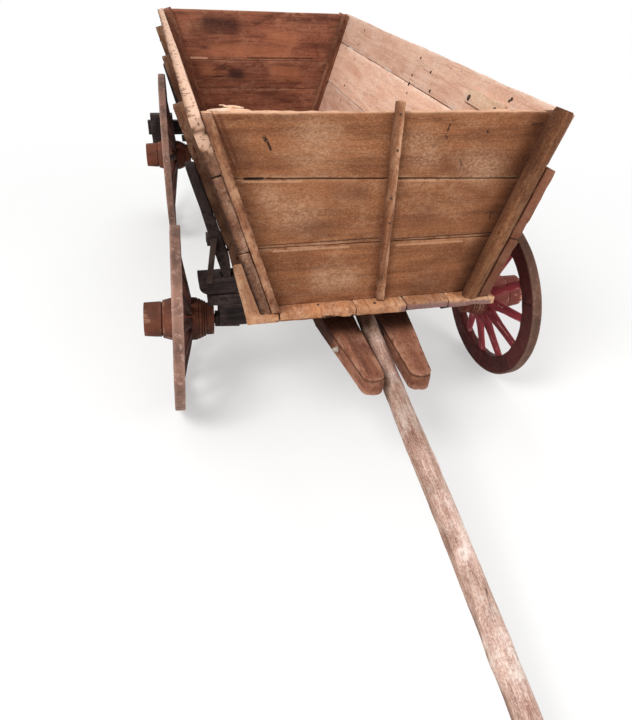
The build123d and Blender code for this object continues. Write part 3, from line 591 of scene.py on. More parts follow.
# Marks on the front board: kind, start and end as metres across and above the floor, and half width
BOARD_MARKS = (
    ("edge", -0.610, 0.6790, 0.560, 0.6790, 0.0070),
    ("cut", -0.428, 0.602, -0.418, 0.588, 0.0060), ("cut", -0.416, 0.588, -0.404, 0.560, 0.0038),
    ("faint", -0.487, 0.520, -0.464, 0.520, 0.0035), ("faint", -0.444, 0.333, -0.403, 0.337, 0.0022),
    ("faint", -0.393, 0.173, -0.374, 0.172, 0.0036), ("faint", -0.523, 0.656, -0.492, 0.656, 0.0020),
    ("cut", 0.205, 0.636, 0.198, 0.612, 0.0024), ("line", 0.193, 0.600, 0.202, 0.588, 0.0028),
    ("knot", 0.150, 0.566, 0.157, 0.565, 0.0095), ("cut", 0.345, 0.609, 0.352, 0.609, 0.0048),
    ("line", 0.262, 0.518, 0.273, 0.494, 0.0034), ("faint", 0.268, 0.512, 0.280, 0.490, 0.0060),
    ("line", 0.515, 0.631, 0.556, 0.633, 0.0028), ("faint", 0.535, 0.618, 0.533, 0.588, 0.0026),
    ("faint", 0.535, 0.588, 0.553, 0.587, 0.0022),
    ("line", 0.425, 0.326, 0.423, 0.298, 0.0026), ("faint", 0.425, 0.325, 0.440, 0.327, 0.0024),
    ("faint", -0.585, 0.676, -0.519, 0.496, 0.0030), ("faint", -0.565, 0.670, -0.512, 0.520, 0.0050),
    ("pale", -0.516, 0.4745, -0.497, 0.4745, 0.0042), ("cut", -0.494, 0.4735, -0.429, 0.4725, 0.0044),
    ("line", -0.420, 0.4720, -0.012, 0.4610, 0.0026), ("line", 0.030, 0.4600, 0.500, 0.4470, 0.0026),
    ("pale", -0.500, 0.4640, -0.300, 0.4590, 0.0030), ("pale", 0.030, 0.4510, 0.180, 0.4470, 0.0022),
    ("line", -0.450, 0.240, -0.010, 0.246, 0.0020), ("line", 0.029, 0.238, 0.448, 0.242, 0.0020),
    ("pale", -0.400, 0.217, -0.120, 0.219, 0.0040), ("pale", 0.060, 0.214, 0.330, 0.215, 0.0040),
    ("cloud", -0.330, 0.560, -0.190, 0.590, 0.0750), ("cloud", 0.270, 0.500, 0.430, 0.480, 0.0550),
    ("cloud", -0.400, 0.360, -0.250, 0.350, 0.0550), ("cloud", 0.080, 0.610, 0.160, 0.500, 0.0500),
    ("cloud", -0.250, 0.100, -0.080, 0.090, 0.0450), ("cloud", -0.450, 0.430, -0.380, 0.400, 0.0350),
    ("smudge", -0.300, 0.300, -0.180, 0.290, 0.0300), ("smudge", -0.200, 0.420, -0.060, 0.410, 0.0350),
    ("smudge", 0.120, 0.050, 0.300, 0.060, 0.0450), ("smudge", -0.520, 0.600, -0.480, 0.500, 0.0300),
    ("smudge", 0.360, 0.110, 0.400, 0.060, 0.0500), ("smudge", 0.100, 0.330, 0.200, 0.340, 0.0350),
)
# Marks on the front ends of the floor planks
FLOOR_MARKS = (
    ("cloud", -0.500, -0.016, -0.430, -0.016, 0.0700),
    ("cut", -0.226, -0.031, -0.176, -0.031, 0.0075), ("line", -0.215, -0.022, -0.185, -0.026, 0.0034),
    ("cut", -0.112, -0.030, -0.100, -0.028, 0.0042), ("faint", -0.400, -0.030, -0.240, -0.030, 0.0060),
    ("mauve", 0.085, -0.022, 0.470, -0.022, 0.0130),
)
# Marks on the tailboard, seen from inside and outside
TAIL_MARKS = (
    ("blotch", -0.400, 0.605, -0.140, 0.590, 0.0400), ("smudge", -0.480, 0.565, -0.240, 0.545, 0.0500),
    ("smudge", -0.200, 0.600, -0.060, 0.600, 0.0450), ("blotch", -0.225, 0.287, -0.115, 0.272, 0.0300),
    ("blotch", -0.205, 0.285, -0.130, 0.275, 0.0240), ("smudge", -0.240, 0.270, -0.010, 0.240, 0.0600),
    ("knot", -0.330, 0.483, -0.322, 0.483, 0.0110), ("smudge", 0.250, 0.610, 0.450, 0.620, 0.0350),
    ("smudge", 0.000, 0.120, 0.300, 0.110, 0.0400), ("glow", -0.360, 0.445, -0.120, 0.430, 0.0350),
    ("glow", -0.150, 0.430, 0.240, 0.420, 0.0400), ("glow", 0.050, 0.540, 0.280, 0.500, 0.0350),
    ("glow", -0.420, 0.300, -0.330, 0.300, 0.0300), ("glow", 0.080, 0.300, 0.300, 0.280, 0.0350),
    ("edge", -0.490, 0.382, -0.370, 0.380, 0.0070), ("line", -0.090, 0.385, 0.400, 0.388, 0.0040),
)
board_wood = wood("board_wood", (174, 113, 74), (151, 95, 60), (124, 75, 46), (200, 154, 120), 0.32,
                  crack=0.35, streak=0.22, stain=0.30, fine=0.5, scratch=0.42, marks=BOARD_MARKS)
box_wood = wood("box_wood", (172, 118, 80), (142, 90, 60), (104, 62, 42), (205, 172, 146), 0.35, scratch=0.2)
floor_wood = wood("floor_wood", (206, 148, 104), (176, 118, 76), (142, 86, 56), (216, 174, 140), 0.45,
                  streak=0.35, stain=0.45, fine=0.6, scratch=0.3, marks=FLOOR_MARKS)
BLEACHED = {"dust_share": 0.55, "streak": 0.30, "stain": 0.20, "fine": 0.5, "scratch": 0.25}
bleached_wood = wood("bleached_wood", (246, 214, 186), (236, 194, 160), (212, 162, 128), (242, 218, 198),
                     **BLEACHED)
right_wall_wood = wood("right_wall_wood", (250, 216, 194), (243, 199, 172), (222, 170, 142), (246, 222, 204),
                       powers=WARM_SHADE_AND_DIRT, **BLEACHED)
grey_wood = wood("grey_wood", (184, 126, 90), (150, 98, 68), (110, 64, 42), (206, 162, 128), 0.40,
                 streak=0.45, stain=0.65, powers=WARM_SHADE_AND_DIRT)
guide_wood = wood("guide_wood", (150, 94, 68), (118, 70, 52), (88, 50, 38), (180, 130, 102), 0.30)
batten_wood = wood("batten_wood", (172, 118, 82), (144, 92, 62), (104, 62, 42), (208, 164, 130), 0.35,
                   streak=0.45, fine=0.6)
tail_wood = wood("tail_wood", (184, 120, 88), (146, 88, 66), (104, 58, 44), (184, 130, 102), 0.60,
                 crack=0.9, streak=0.45, stain=0.9, fine=0.6, scratch=0.2, marks=TAIL_MARKS)
left_wall_wood = wood("left_wall_wood", (174, 126, 96), (144, 98, 72), (104, 66, 48), (222, 182, 156), 0.35,
                      crack=0.2, streak=0.45, stain=0.65)
gear_wood = wood("gear_wood", (58, 42, 39), (38, 27, 27), (26, 18, 19), (88, 72, 68), 0.25)
hound_wood = wood("hound_wood", (156, 104, 78), (128, 78, 57), (94, 54, 40), (176, 132, 108), 0.45,
                  streak=0.35, stain=0.4, fine=0.6, scratch=0.35)
log_wood = wood("log_wood", (150, 98, 60), (120, 74, 44), (88, 52, 32), (176, 130, 94), 0.25,
                crack=0.5, streak=0.40, fine=0.5)
pole_wood = wood("pole_wood", (240, 214, 200), (216, 178, 162), (174, 130, 114), (248, 234, 224), 0.85,
                 crack=0.7, depth=0.002, streak=0.60, stain=0.45, scratch=0.7, flecks=0.45)
old_iron = iron("old_iron", (40, 32, 30), (64, 44, 37), (108, 88, 78), 0.25)
pale_iron = iron("pale_iron", (140, 128, 118), (172, 158, 146), (212, 200, 188), 0.5)
tyre_iron = iron("tyre_iron", (96, 68, 56), (140, 102, 86), (196, 162, 148), 0.6)
hub_paint = painted("hub_paint", (116, 64, 44), (82, 48, 36), (158, 112, 88), 0.35)
spoke_paint = painted("spoke_paint", (166, 66, 74), (126, 46, 52), (204, 138, 132), 0.60)
red_hub_paint = painted("red_hub_paint", (150, 84, 68), (122, 60, 50), (206, 150, 130), 0.60)
# The left wheels' spokes: the spoke paint dirtier, and darker with painted shade
shaded_dirty_spoke_paint = painted("shaded_dirty_spoke_paint", (86, 46, 38), (64, 40, 34), (128, 92, 76), 0.45)
felloe_paint = painted("felloe_paint", (86, 30, 26), (66, 25, 22), (124, 78, 64), 0.18)


# The box

BOARD_SEAM, SEAM_REACH, SEAM_SLOPE = 0.460, 0.22, 0.0275
BATTEN_X, LOG_FOOT_X, LOG_HEAD_X = 0.014, 0.3815, 0.587
NOTCH_Z = 1.293


def board_shape(points, seed):
    """The front board's slanting seam and its gnawed top edge."""
    rise = points[:, 2] - FLOOR_TOP
    points[:, 2] -= SEAM_SLOPE * points[:, 0] * hill(rise, BOARD_SEAM, SEAM_REACH)
    top = bump(rise, BOX_TOP - FLOOR_TOP - 0.03, BOX_TOP - FLOOR_TOP - 0.002)
    gnawed = 0.5 + 0.6 * rough(points * (1, 0, 0), 0.11, seed) + 0.4 * ripple(points, 0.025, seed)
    points[:, 2] -= top * np.clip(gnawed, 0, None) * 0.007
    return points


def board_shade(points):
    """Painted shadow by the log and the batten, painted shade along the foot, and darker towards the left."""
    rise = (points[:, 2] - FLOOR_TOP) / (BOX_TOP - FLOOR_TOP)
    low = 1 - rise
    log_x = LOG_FOOT_X + (LOG_HEAD_X - LOG_FOOT_X) * rise
    # Painted shadow of the log and of the centre batten on the board
    by_log = 0.45 * hill(points[:, 0], log_x - 0.01, 0.085)
    by_batten = 0.30 * hill(points[:, 0], BATTEN_X, 0.05)
    # Painted shade along the foot, towards the right and towards the bottom
    foot = 0.15 * (1 - bump(rise, 0.0, 0.10))
    to_right = 0.10 * bump(points[:, 0], -0.05, 0.50)
    place = points[:, 0] + 0.0019 * points[:, 2]
    left = 0.14 * (1 - bump(place, -0.55 + 0.08 * low, -0.44 + 0.1 * low))
    blotches = 0.07 * rough(points, 0.12, 4)
    return np.clip(by_log + by_batten + foot + left + to_right + 0.08 * low + blotches, 0, 1)


def batten_shade(points):
    """Painted shade on the centre batten's left side."""
    return np.clip(0.62 * (1 - bump(points[:, 0], BATTEN_X - 0.013, BATTEN_X + 0.002)), 0, 1)


def speckle(points):
    """Dark flecks of dirt in rough wood."""
    return np.clip(0.24 + 0.36 * rough(points, 0.03, 12), 0, 0.85)


def wall_shape(points, seed):
    """A wall's uneven top edge and splintered front ends."""
    top = bump(points[:, 2], BOX_TOP - 0.03, BOX_TOP - 0.004)
    points[:, 2] -= top * 0.0035 * (0.5 + 0.5 * rough(points * (0, 1, 0), 0.16, seed))
    front = front_end(points, -0.08, 0.01)
    points[:, 1] += front * 0.010 * np.clip(rough(points * (0.2, 0, 1), 0.035, seed) + 0.3, 0, None)
    return points


def wall_shade(points):
    """Painted shade on the outer faces, most on their lower part, and dirty front ends."""
    outside = bump(np.abs(points[:, 0]) - inner_half(points[:, 1], points[:, 2]), 0.022, 0.040)
    front = front_end(points)
    flecks = 0.5 + 0.5 * rough(points, 0.035, 8)
    low = 1 - bump(points[:, 2], BOX_TOP - 0.22, BOX_TOP - 0.04)
    return np.clip(outside * (0.45 + 0.40 * low) + front * (0.10 + 0.45 * flecks), 0, 1)


def left_wall_shade(points):
    """As for both walls, with the top of the front end bleached above and below a notch darkened with painted
    shade.
    """
    front = front_end(points)
    bleached = front * bump(points[:, 2], NOTCH_Z - 0.06, NOTCH_Z - 0.04)
    notch = front * bump(hill(points[:, 2], NOTCH_Z, 0.012), 0.0, 0.5)
    return np.clip(wall_shade(points) * (1 - 0.9 * bleached) + 0.9 * notch, 0, 1)


def left_wall_bleach(points):
    """The bleached top edge and front top corner."""
    front = front_end(points)
    top = bump(points[:, 2], BOX_TOP - 0.014, BOX_TOP - 0.006)
    ragged = points[:, 2] + 0.015 * rough(points, 0.03, 21)
    return 6.0 * np.maximum(top, front * bump(ragged, NOTCH_Z - 0.06, NOTCH_Z - 0.04))


def left_wall_shape(points, seed):
    """As for both walls, with a notch cut into the front end."""
    points = wall_shape(points, seed)
    front = front_end(points, -0.08, 0.01)
    points[:, 1] += 0.016 * front * bump(hill(points[:, 2], NOTCH_Z, 0.012), 0.0, 0.6)
    return points


def right_wall_shade(points):
    """As for both walls, with the front ends darker still."""
    front = front_end(points)
    ends = 0.88 + 0.06 * rough(points, 0.05, 9)
    return np.clip(wall_shade(points) * (1 - front) + front * ends, 0, 1)


def rib_shade(points):
    """Painted shade over the ribs, a little less at their tops."""
    top = bump(points[:, 2], BOX_TOP - 0.26, BOX_TOP - 0.06)
    return np.clip(0.84 - 0.24 * top + 0.1 * rough(points, 0.04, 15), 0, 1)


def ledge_shape(points, seed):
    """The floor planks' worn and broken front ends."""
    front = front_end(points, -0.066, -0.03)
    points[:, 1] += front * 0.004 * np.clip(rough(points * (1, 0, 0.3), 0.015, seed) - 0.2, 0, None)
    low = points[:, 2] < FLOOR_TOP - 0.016
    points[:, 2] += front * 0.008 * np.clip(rough(points * (1, 0, 0), 0.02, seed + 4) - 0.5, 0, None) * low
    return points


timbers("floor_planks", "root", "box_wood", floor_wood, 10, axes=(BACK, RIGHT, UP), cell=(0.05, 0.025),
        edge=0.004, chip=0.005, warp=0.0015, shape=ledge_shape)
timbers("floor_bearers", "root", "box_wood", gear_wood, 20)
timbers("right_wall_planks", "root", "box_wood", right_wall_wood, 30, cell=(0.03, 0.02), edge=0.004,
        warp=0.002, shape=wall_shape, shade=right_wall_shade)
timbers("left_wall_planks", "root", "box_wood", left_wall_wood, 40, cell=(0.03, 0.01, 0.02), edge=0.004,
        warp=0.002, shape=left_wall_shape, shade=left_wall_shade, bleach=left_wall_bleach)
timbers("right_wall_ribs", "root", "box_wood", box_wood, 50, shade=rib_shade)
timbers("left_wall_ribs", "root", "box_wood", box_wood, 60, shade=rib_shade)
timbers("tailboard_planks", "tailboard", "box_wood", tail_wood, 70, cell=(0.03, 0.03), edge=0.002,
        chip=0.0015)
timbers("tailboard_battens", "tailboard", "box_wood", tail_wood, 80)
timbers("tailboard_guides", "root", "box_wood", guide_wood, 90)
timbers("right_wall_patch", "root", "box_wood", bleached_wood, 100, cell=(0.02, 0.015))
timbers("front_board_planks", "root", "box_wood", board_wood, 110, axes=(RIGHT, UP, BACK),
        cell=(0.012, 0.012), shape=board_shape, shade=board_shade)
timbers("front_centre_batten", "root", "box_wood", batten_wood, 120, cell=(0.01, 0.006), shade=batten_shade)
timbers("front_corner_batten", "root", "box_wood", grey_wood, 121, cell=(0.01, 0.01), chip=0.005,
        shade=speckle)


# Running gear

# How far the front bolster's stakes rise above the floor, how much thicker they get at the foot, and how much
# of that is gone at the head
STAKE_RISE, STAKE_FOOT_GAIN, STAKE_TAPER = 0.412, 0.018, 0.016
# How far the front bolster's ends are cut down
BOLSTER_CUT = 0.022


def blackened(points):
    return np.full(len(points), 0.45)


def thickened(points, seed):
    """A stake made a little thicker on the side of the box, most at its foot."""
    side = np.sign(points[:, 0].mean())
    reach = side * points[:, 0]
    lean, foot = np.polyfit(points[:, 2], reach, 1)
    inner = reach < lean * points[:, 2] + foot
    share = np.clip((points[:, 2] - FLOOR_TOP) / STAKE_RISE, 0, 1)
    gain = side * (STAKE_FOOT_GAIN - STAKE_TAPER * share) * inner
    points[:, 0] -= gain * bump(points[:, 2], FLOOR_TOP - 0.04, FLOOR_TOP + 0.02)
    return points


def lowered(points, seed):
    """The front bolster's ends, cut down where they stand out beside the box."""
    low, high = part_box("front_bolster")
    out = bump(np.abs(points[:, 0]), 0.475, 0.490)
    points[:, 2] -= BOLSTER_CUT * out * bump(points[:, 2], (low.z + high.z) / 2, high.z - 0.004)
    return points


def hound_shade(points):
    """Painted shade and grime on the hounds under the cart, and a painted groove shadow under their upper
    edge.
    """
    under = 0.80 * bump(points[:, 1], BOARD_FOOT_Y - 0.10, BOARD_FOOT_Y + 0.02)
    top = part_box("left_hound")[1].z
    painted_groove_shadow = 0.85 * hill(points[:, 2], top - 0.009, 0.009)
    return np.clip(under + painted_groove_shadow, 0, 0.95)


GEAR_TIMBERS = {
    "root": ("front_bolster", "front_bolster_stakes", "rear_bolster", "rear_bolster_stakes", "reach_pole",
             "rear_axle_beam", "brake_beam", "brake_shoes", "brake_hangers"),
    "front_gear": ("front_axle_beam", "axle_blocks", "sway_bar"),
}
GEAR_IRONS = {
    "root": ("stake_struts", "kingpin", "rear_axle_arms"),
    "front_gear": ("front_axle_arms", "pole_pivot_bolt"),
}
GEAR_SHAPES = {"front_bolster_stakes": thickened, "front_bolster": lowered}

for body, nodes in GEAR_TIMBERS.items():
    for node in nodes:
        timbers(node, body, "dark_gear_wood", gear_wood, 130 + len(node), edge=0.005, chip=0.005, warp=0.002,
                shade=blackened if node.endswith("stakes") else None, shape=GEAR_SHAPES.get(node))
for node in ("right_hound", "left_hound"):
    timbers(node, "front_gear", "hound_wood", hound_wood, 170 + len(node), edge=0.006,
            cell=(0.015, 0.015, 0.006), warp=0.0015, shade=hound_shade)
for body, nodes in GEAR_IRONS.items():
    for node in nodes:
        timbers(node, body, "old_iron", old_iron, 190 + len(node), edge=0.0012, chip=0.0005, warp=0.0004)


# Round timbers

# Noise on round timbers is drawn as if they had this radius
NOISE_RADIUS = 0.12
LOG_RINGS, LOG_AROUND, LOG_LUMPS, LOG_SEED = 60, 28, 0.03, 301

# The pole's slope, its ends as distances from the pivot, and how far it bows up
POLE_SLOPE = math.radians(11.769774)
POLE_TAIL, POLE_REACH, POLE_BOW = -0.33, 2.2384, 0.016
# The pole's thickness: distance ahead of the pivot, and radius
POLE_GIRTH = ((-0.33, 0.034), (0.0, 0.0365), (0.33, 0.0395), (0.6, 0.0400), (1.2, 0.0380), (2.24, 0.0370))
POLE_AROUND, POLE_RINGS, TIP_RINGS = 40, 190, 12
POLE_ABOVE_GROUND = 0.0008
# Where the pole's surface is cut open for the yoke pin: rings and sides to each side of the hole's middle
YOKE_RINGS, YOKE_SIDES = 2, 3
YOKE_HOLE_BACK, YOKE_HOLE_RADIUS, YOKE_STEP = 0.110, 0.011, 0.008
# Knots as distance ahead of the pivot, turn and size
KNOTS = ((0.30, 2.7, 0.020), (0.62, -1.2, 0.026), (0.95, 0.4, 0.018), (1.21, 1.6, 0.024),
         (1.52, -0.6, 0.028), (1.83, 0.9, 0.022), (1.98, -2.4, 0.024), (0.78, 2.6, 0.025), (1.40, 3.0, 0.020))


def round_noise(along, around):
    """Places for noise that runs on around a round timber."""
    turns = circle(around)
    across = NOISE_RADIUS * np.cos(turns), NOISE_RADIUS * np.sin(turns)
    return stacked(along[:, None], *across).reshape(-1, 3)


def round_timber(centres, along, radii, swell, above, side):
    """A round timber's points, grain and reach, ring by ring; the reach is the radius times the swell."""
    turns = circle(swell.shape[1])
    outward = np.cos(turns)[:, None] * above + np.sin(turns)[:, None] * side
    reach = radii[:, None] * swell
    points = centres[:, None, :] + reach[:, :, None] * outward
    grain = stacked(along[:, None], reach * np.cos(turns), reach * np.sin(turns))
    return points, grain.reshape(-1, 3), reach


def corner_log():
    """The log in the front board's right corner, out of round and lumpy."""
    foot = np.array((LOG_FOOT_X, BOARD_FOOT_Y - 0.033, FLOOR_TOP - 0.002))
    head = np.array((LOG_HEAD_X, BOARD_FOOT_Y - 0.022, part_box("front_corner_log")[1].z - 0.008))
    share = np.linspace(0, 1, LOG_RINGS)
    centres = foot + (head - foot) * share[:, None]
    radii = 0.0295 + 0.005 * share - 0.004 * bump(share, 0.985, 1.0)
    ahead = unit(centres[-1] - centres[0])
    side = unit(np.cross(ahead, UP))
    along = (centres - centres[0]) @ ahead
    flat = round_noise(along, LOG_AROUND)
    swell = 1 + LOG_LUMPS * (rough(flat, 0.35, LOG_SEED) + 0.35 * rough(flat, 0.07, LOG_SEED + 5))
    swell = swell.reshape(LOG_RINGS, LOG_AROUND)
    points, grain, _ = round_timber(centres, along, radii, swell, np.cross(side, ahead), side)
    points[0, :, 2] = FLOOR_TOP + 0.0005
    wear = 0.4 * bump(swell - 1, 0.0, LOG_LUMPS * 1.2)
    # Painted shade down the log's sides, more on its left
    beside = (points[:, :, 0] - centres[:, :1]) / radii[:, None]
    dark = np.clip(0.45 * bump(-beside, 0.35, 1.0) + 0.25 * bump(beside, 0.6, 1.0), 0, 1)
    heap = Heap()
    heap.put(points.reshape(-1, 3), tube(LOG_RINGS, LOG_AROUND), grain=grain, wear=wear.ravel(),
             shade=dark.ravel())
    heap.make("front_corner_log_worn", "root", "round_pole_wood", log_wood, replaces=["front_corner_log"])


def pole_rings():
    """Distances from the pivot, closer together by the yoke pin hole and the tip, and the hole's ring."""
    hole = POLE_REACH - YOKE_HOLE_BACK
    by_hole = hole + YOKE_STEP * np.arange(-YOKE_RINGS, YOKE_RINGS + 1)
    before = np.linspace(POLE_TAIL, by_hole[0], POLE_RINGS)[:-1]
    after = np.linspace(by_hole[-1], POLE_REACH, TIP_RINGS)[1:]
    return np.concatenate((before, by_hole, after)), len(before) + YOKE_RINGS


def pole():
    """The draught pole: bowed, knotted, worn, and bored through for the yoke pin."""
    stations, hole = pole_rings()
    pivot = np.array(joint_named("pole_lift")["pos_m"])
    ahead = np.array((0, -math.cos(POLE_SLOPE), -math.sin(POLE_SLOPE)))
    above = np.array((0, -math.sin(POLE_SLOPE), math.cos(POLE_SLOPE)))
    side = -RIGHT
    share = stations / POLE_REACH
    bow = POLE_BOW * np.interp(share, (POLE_TAIL / POLE_REACH, 0.25, 0.5, 1.0), (0.0, 0.7, 1.0, 0.0))
    wander = 0.006 * ripple(stacked(stations, 0, 0), 0.5, 77) * bump(share, 0.15, 0.4)
    wander *= 1 - bump(share, 0.8, 0.95)
    centres = pivot + stations[:, None] * ahead + bow[:, None] * above + wander[:, None] * RIGHT
    radii = np.interp(stations, *np.transpose(POLE_GIRTH))
    tail = 1 - bump(stations, POLE_TAIL, POLE_TAIL + 0.01)
    radii = radii * (1 - 0.10 * bump(share, 0.994, 1.0) - 0.08 * tail)

    turns = circle(POLE_AROUND)
    flat = round_noise(stations, POLE_AROUND)
    swell = 0.05 * rough(flat, 0.32, 41) + 0.022 * rough(flat, 0.06, 47)
    swell = swell.reshape(len(stations), POLE_AROUND) - 0.012
    uneven = rough(flat, 0.03, 91).reshape(swell.shape)
    knot = np.zeros_like(swell)
    for place, turn, size in KNOTS:
        arc = radii[:, None] * (np.mod(turns - turn + math.pi, 2 * math.pi) - math.pi)
        away = np.hypot((stations[:, None] - place) / 1.5, arc) * (1 + 0.35 * uneven)
        swell += 0.09 * (1 - bump(away, 0, 1.5 * size)) - 0.03 * (1 - bump(away, 0, 0.4 * size))
        knot = np.maximum(knot, 1 - bump(away, 0.10 * size, 0.55 * size))
    swell = np.minimum(swell, (0.03 + 0.12 * bump(stations, 0.30, 0.45))[:, None])
    points, grain, reach = round_timber(centres, stations, radii, 1 + swell, above, side)
    points = points.reshape(-1, 3)
    points[:, 2] = np.maximum(points[:, 2], POLE_ABOVE_GROUND)
    wear = bump(swell, 0.0, 0.05)
    # Painted shade on the underside and the left side, and towards the rear end under the cart
    under = 0.45 * bump(-np.cos(turns), -0.1, 0.9) + 0.30 * bump(np.sin(turns), 0.75, 1.0)
    rear = 0.16 * (1 - bump(stations, 0.1, 0.7)) + 0.35 * (1 - bump(stations, 0.02, 0.08))
    shade = np.clip(0.45 * knot + 0.45 * bump(-swell, 0.0, 0.06) + under + rear[:, None], 0, 0.9)

    rim = [(i, -YOKE_SIDES) for i in range(-YOKE_RINGS, YOKE_RINGS)]
    rim += [(YOKE_RINGS, k) for k in range(-YOKE_SIDES, YOKE_SIDES)]
    rim += [(-i, -k) for i, k in rim]
    mouths = ((0, 1), (POLE_AROUND // 2, -1))
    open_cells = {(ring, turn % POLE_AROUND) for middle, _ in mouths
                  for ring in range(hole - YOKE_RINGS, hole + YOKE_RINGS)
                  for turn in range(middle - YOKE_SIDES, middle + YOKE_SIDES)}
    faces = tube(len(stations), POLE_AROUND, skipped=open_cells)
    extra, extra_grain, loops = [], [], []
    for middle, up in mouths:
        loop = []
        for i, k in rim:
            angle = math.atan2(radii[hole] * math.sin(2 * math.pi * k / POLE_AROUND), YOKE_STEP * i)
            run, off = YOKE_HOLE_RADIUS * math.cos(angle), YOKE_HOLE_RADIUS * math.sin(angle)
            height = up * math.sqrt(reach[hole, middle] ** 2 - off ** 2)
            loop.append(len(points) + len(extra))
            extra.append(centres[hole] + run * ahead + off * side + height * above)
            extra_grain.append((stations[hole] + run, height, off))
        loops.append(loop)
        corners = [(hole + i) * POLE_AROUND + (middle + up * k) % POLE_AROUND for i, k in rim]
        faces += band(corners, loop)
    faces += band(*loops)
    heap = Heap()
    # The bore's walls get painted shade
    heap.put(np.concatenate((points, extra)), faces, grain=np.concatenate((grain, extra_grain)),
             wear=np.append(wear, np.ones(len(extra))), shade=np.append(shade, np.full(len(extra), 0.5)))
    heap.make("pole_worn", "pole", "round_pole_wood", pole_wood, replaces=["pole"])


corner_log()
pole()


# Wheels, made about +X as the axle's way out, with a turn of 0 pointing up

TYRE_HALF, TYRE_THICKNESS, FELLOE_DEPTH, JOINT = 0.0215, 0.010, 0.080, 0.0016
# The spoke's foot as place along the axle and radius, its head along the axle, and its reach into the felloe
SPOKE_FOOT, SPOKE_HEAD, TENON = (-0.047, 0.080), -0.003, 0.004
BORE, HUB_SKIN = 0.0222, 0.062
TYRE_SIDES, HUB_SIDES, FELLOE_RINGS, SPOKE_RINGS, SPOKE_SIDES = 176, 64, 41, 22, 20
# For each axle: the wheels' radius, their number of spokes and the first spoke's turn in degrees
WHEEL_ROWS = (("front", 0.400, 12, 22.5), ("rear", 0.505, 14, 0.0))
# The hub's outline from its inner end: place along the axle, radius, and how sharp and worn the place is
HUB_OUTLINE = (
    (-0.1550, 0.0665, 0.6), (-0.1535, 0.0690, 1.0), (-0.1400, 0.0700, 0.2), (-0.1265, 0.0712, 0.3),
    (-0.1240, 0.0716, 0.8), (-0.1228, 0.0690, -1.0), (-0.1216, 0.0690, -1.0), (-0.1204, 0.0765, 0.8),
    (-0.1135, 0.0790, 0.5), (-0.1124, 0.0755, -1.0), (-0.1112, 0.0755, -1.0), (-0.1100, 0.0815, 0.7),
    (-0.1035, 0.0840, 0.5), (-0.1024, 0.0800, -1.0), (-0.1012, 0.0800, -1.0), (-0.1000, 0.0862, 0.7),
    (-0.0900, 0.0895, 0.6), (-0.0889, 0.0860, -1.0), (-0.0877, 0.0860, -1.0), (-0.0865, 0.0915, 0.6),
    (-0.0760, 0.0935, 0.2), (-0.0600, 0.0940, 0.0), (-0.0300, 0.0940, 0.0), (-0.0050, 0.0940, 0.1),
    (0.0140, 0.0938, 0.4), (0.0300, 0.0912, 0.1), (0.0460, 0.0868, 0.1), (0.0600, 0.0828, 0.9),
    (0.0625, 0.0790, -0.6), (0.0640, 0.0735, -1.0), (0.0665, 0.0735, -1.0), (0.0680, 0.0778, 0.6),
    (0.0900, 0.0768, 0.1), (0.1150, 0.0752, 0.3), (0.1375, 0.0738, 1.0), (0.1395, 0.0710, 0.7),
    (0.1395, 0.0490, 0.2), (0.1385, 0.0450, -0.5), (0.1215, 0.0440, -0.9), (0.1205, 0.0300, -0.9),
    (0.1205, BORE, -1.0), (-0.1535, BORE, -1.0), (-0.1535, 0.0400, -0.4), (-0.1545, 0.0560, 0.0),
)


def polar(x, radius, turn):
    """Places in a wheel's own frame."""
    return stacked(x, -radius * np.sin(turn), radius * np.cos(turn))


def tyre(heap, radius, seed, dirt_and_shade):
    rim, low, half = radius, radius - TYRE_THICKNESS, TYRE_HALF
    inside = [(-half + 0.001, low, 0), (-half, low + 0.002, 0), (-half, rim - 0.004, 0.6),
              (-half + 0.0012, rim - 0.0014, 1.0), (-half + 0.004, rim, 0.7), (-half * 0.5, rim, 0.3)]
    outside = [(-x, r, worn) for x, r, worn in reversed(inside)]
    outline = np.array(inside + [(0, rim, 0.2)] + outside)
    points = polar(outline[:, 0], outline[:, 1], circle(TYRE_SIDES)[:, None])
    tread = np.broadcast_to(outline[:, 1] > low + 0.003, points.shape[:2]).ravel()
    flat = points.reshape(-1, 3)
    dents = (0.5 + 0.5 * rough(flat, 0.09, seed)) * 0.0009
    flat[:, 1:] *= (1 - np.where(tread, np.clip(dents, 0, None), 0) / radius)[:, None]
    flat[:, 0] += 0.0006 * rough(flat, 0.05, seed + 4)
    # Painted shade, even over the whole tyre
    heap.put(flat, torus(TYRE_SIDES, len(outline)), grain=flat + seed,
             wear=np.tile(outline[:, 2], TYRE_SIDES), shade=np.full(len(flat), dirt_and_shade))


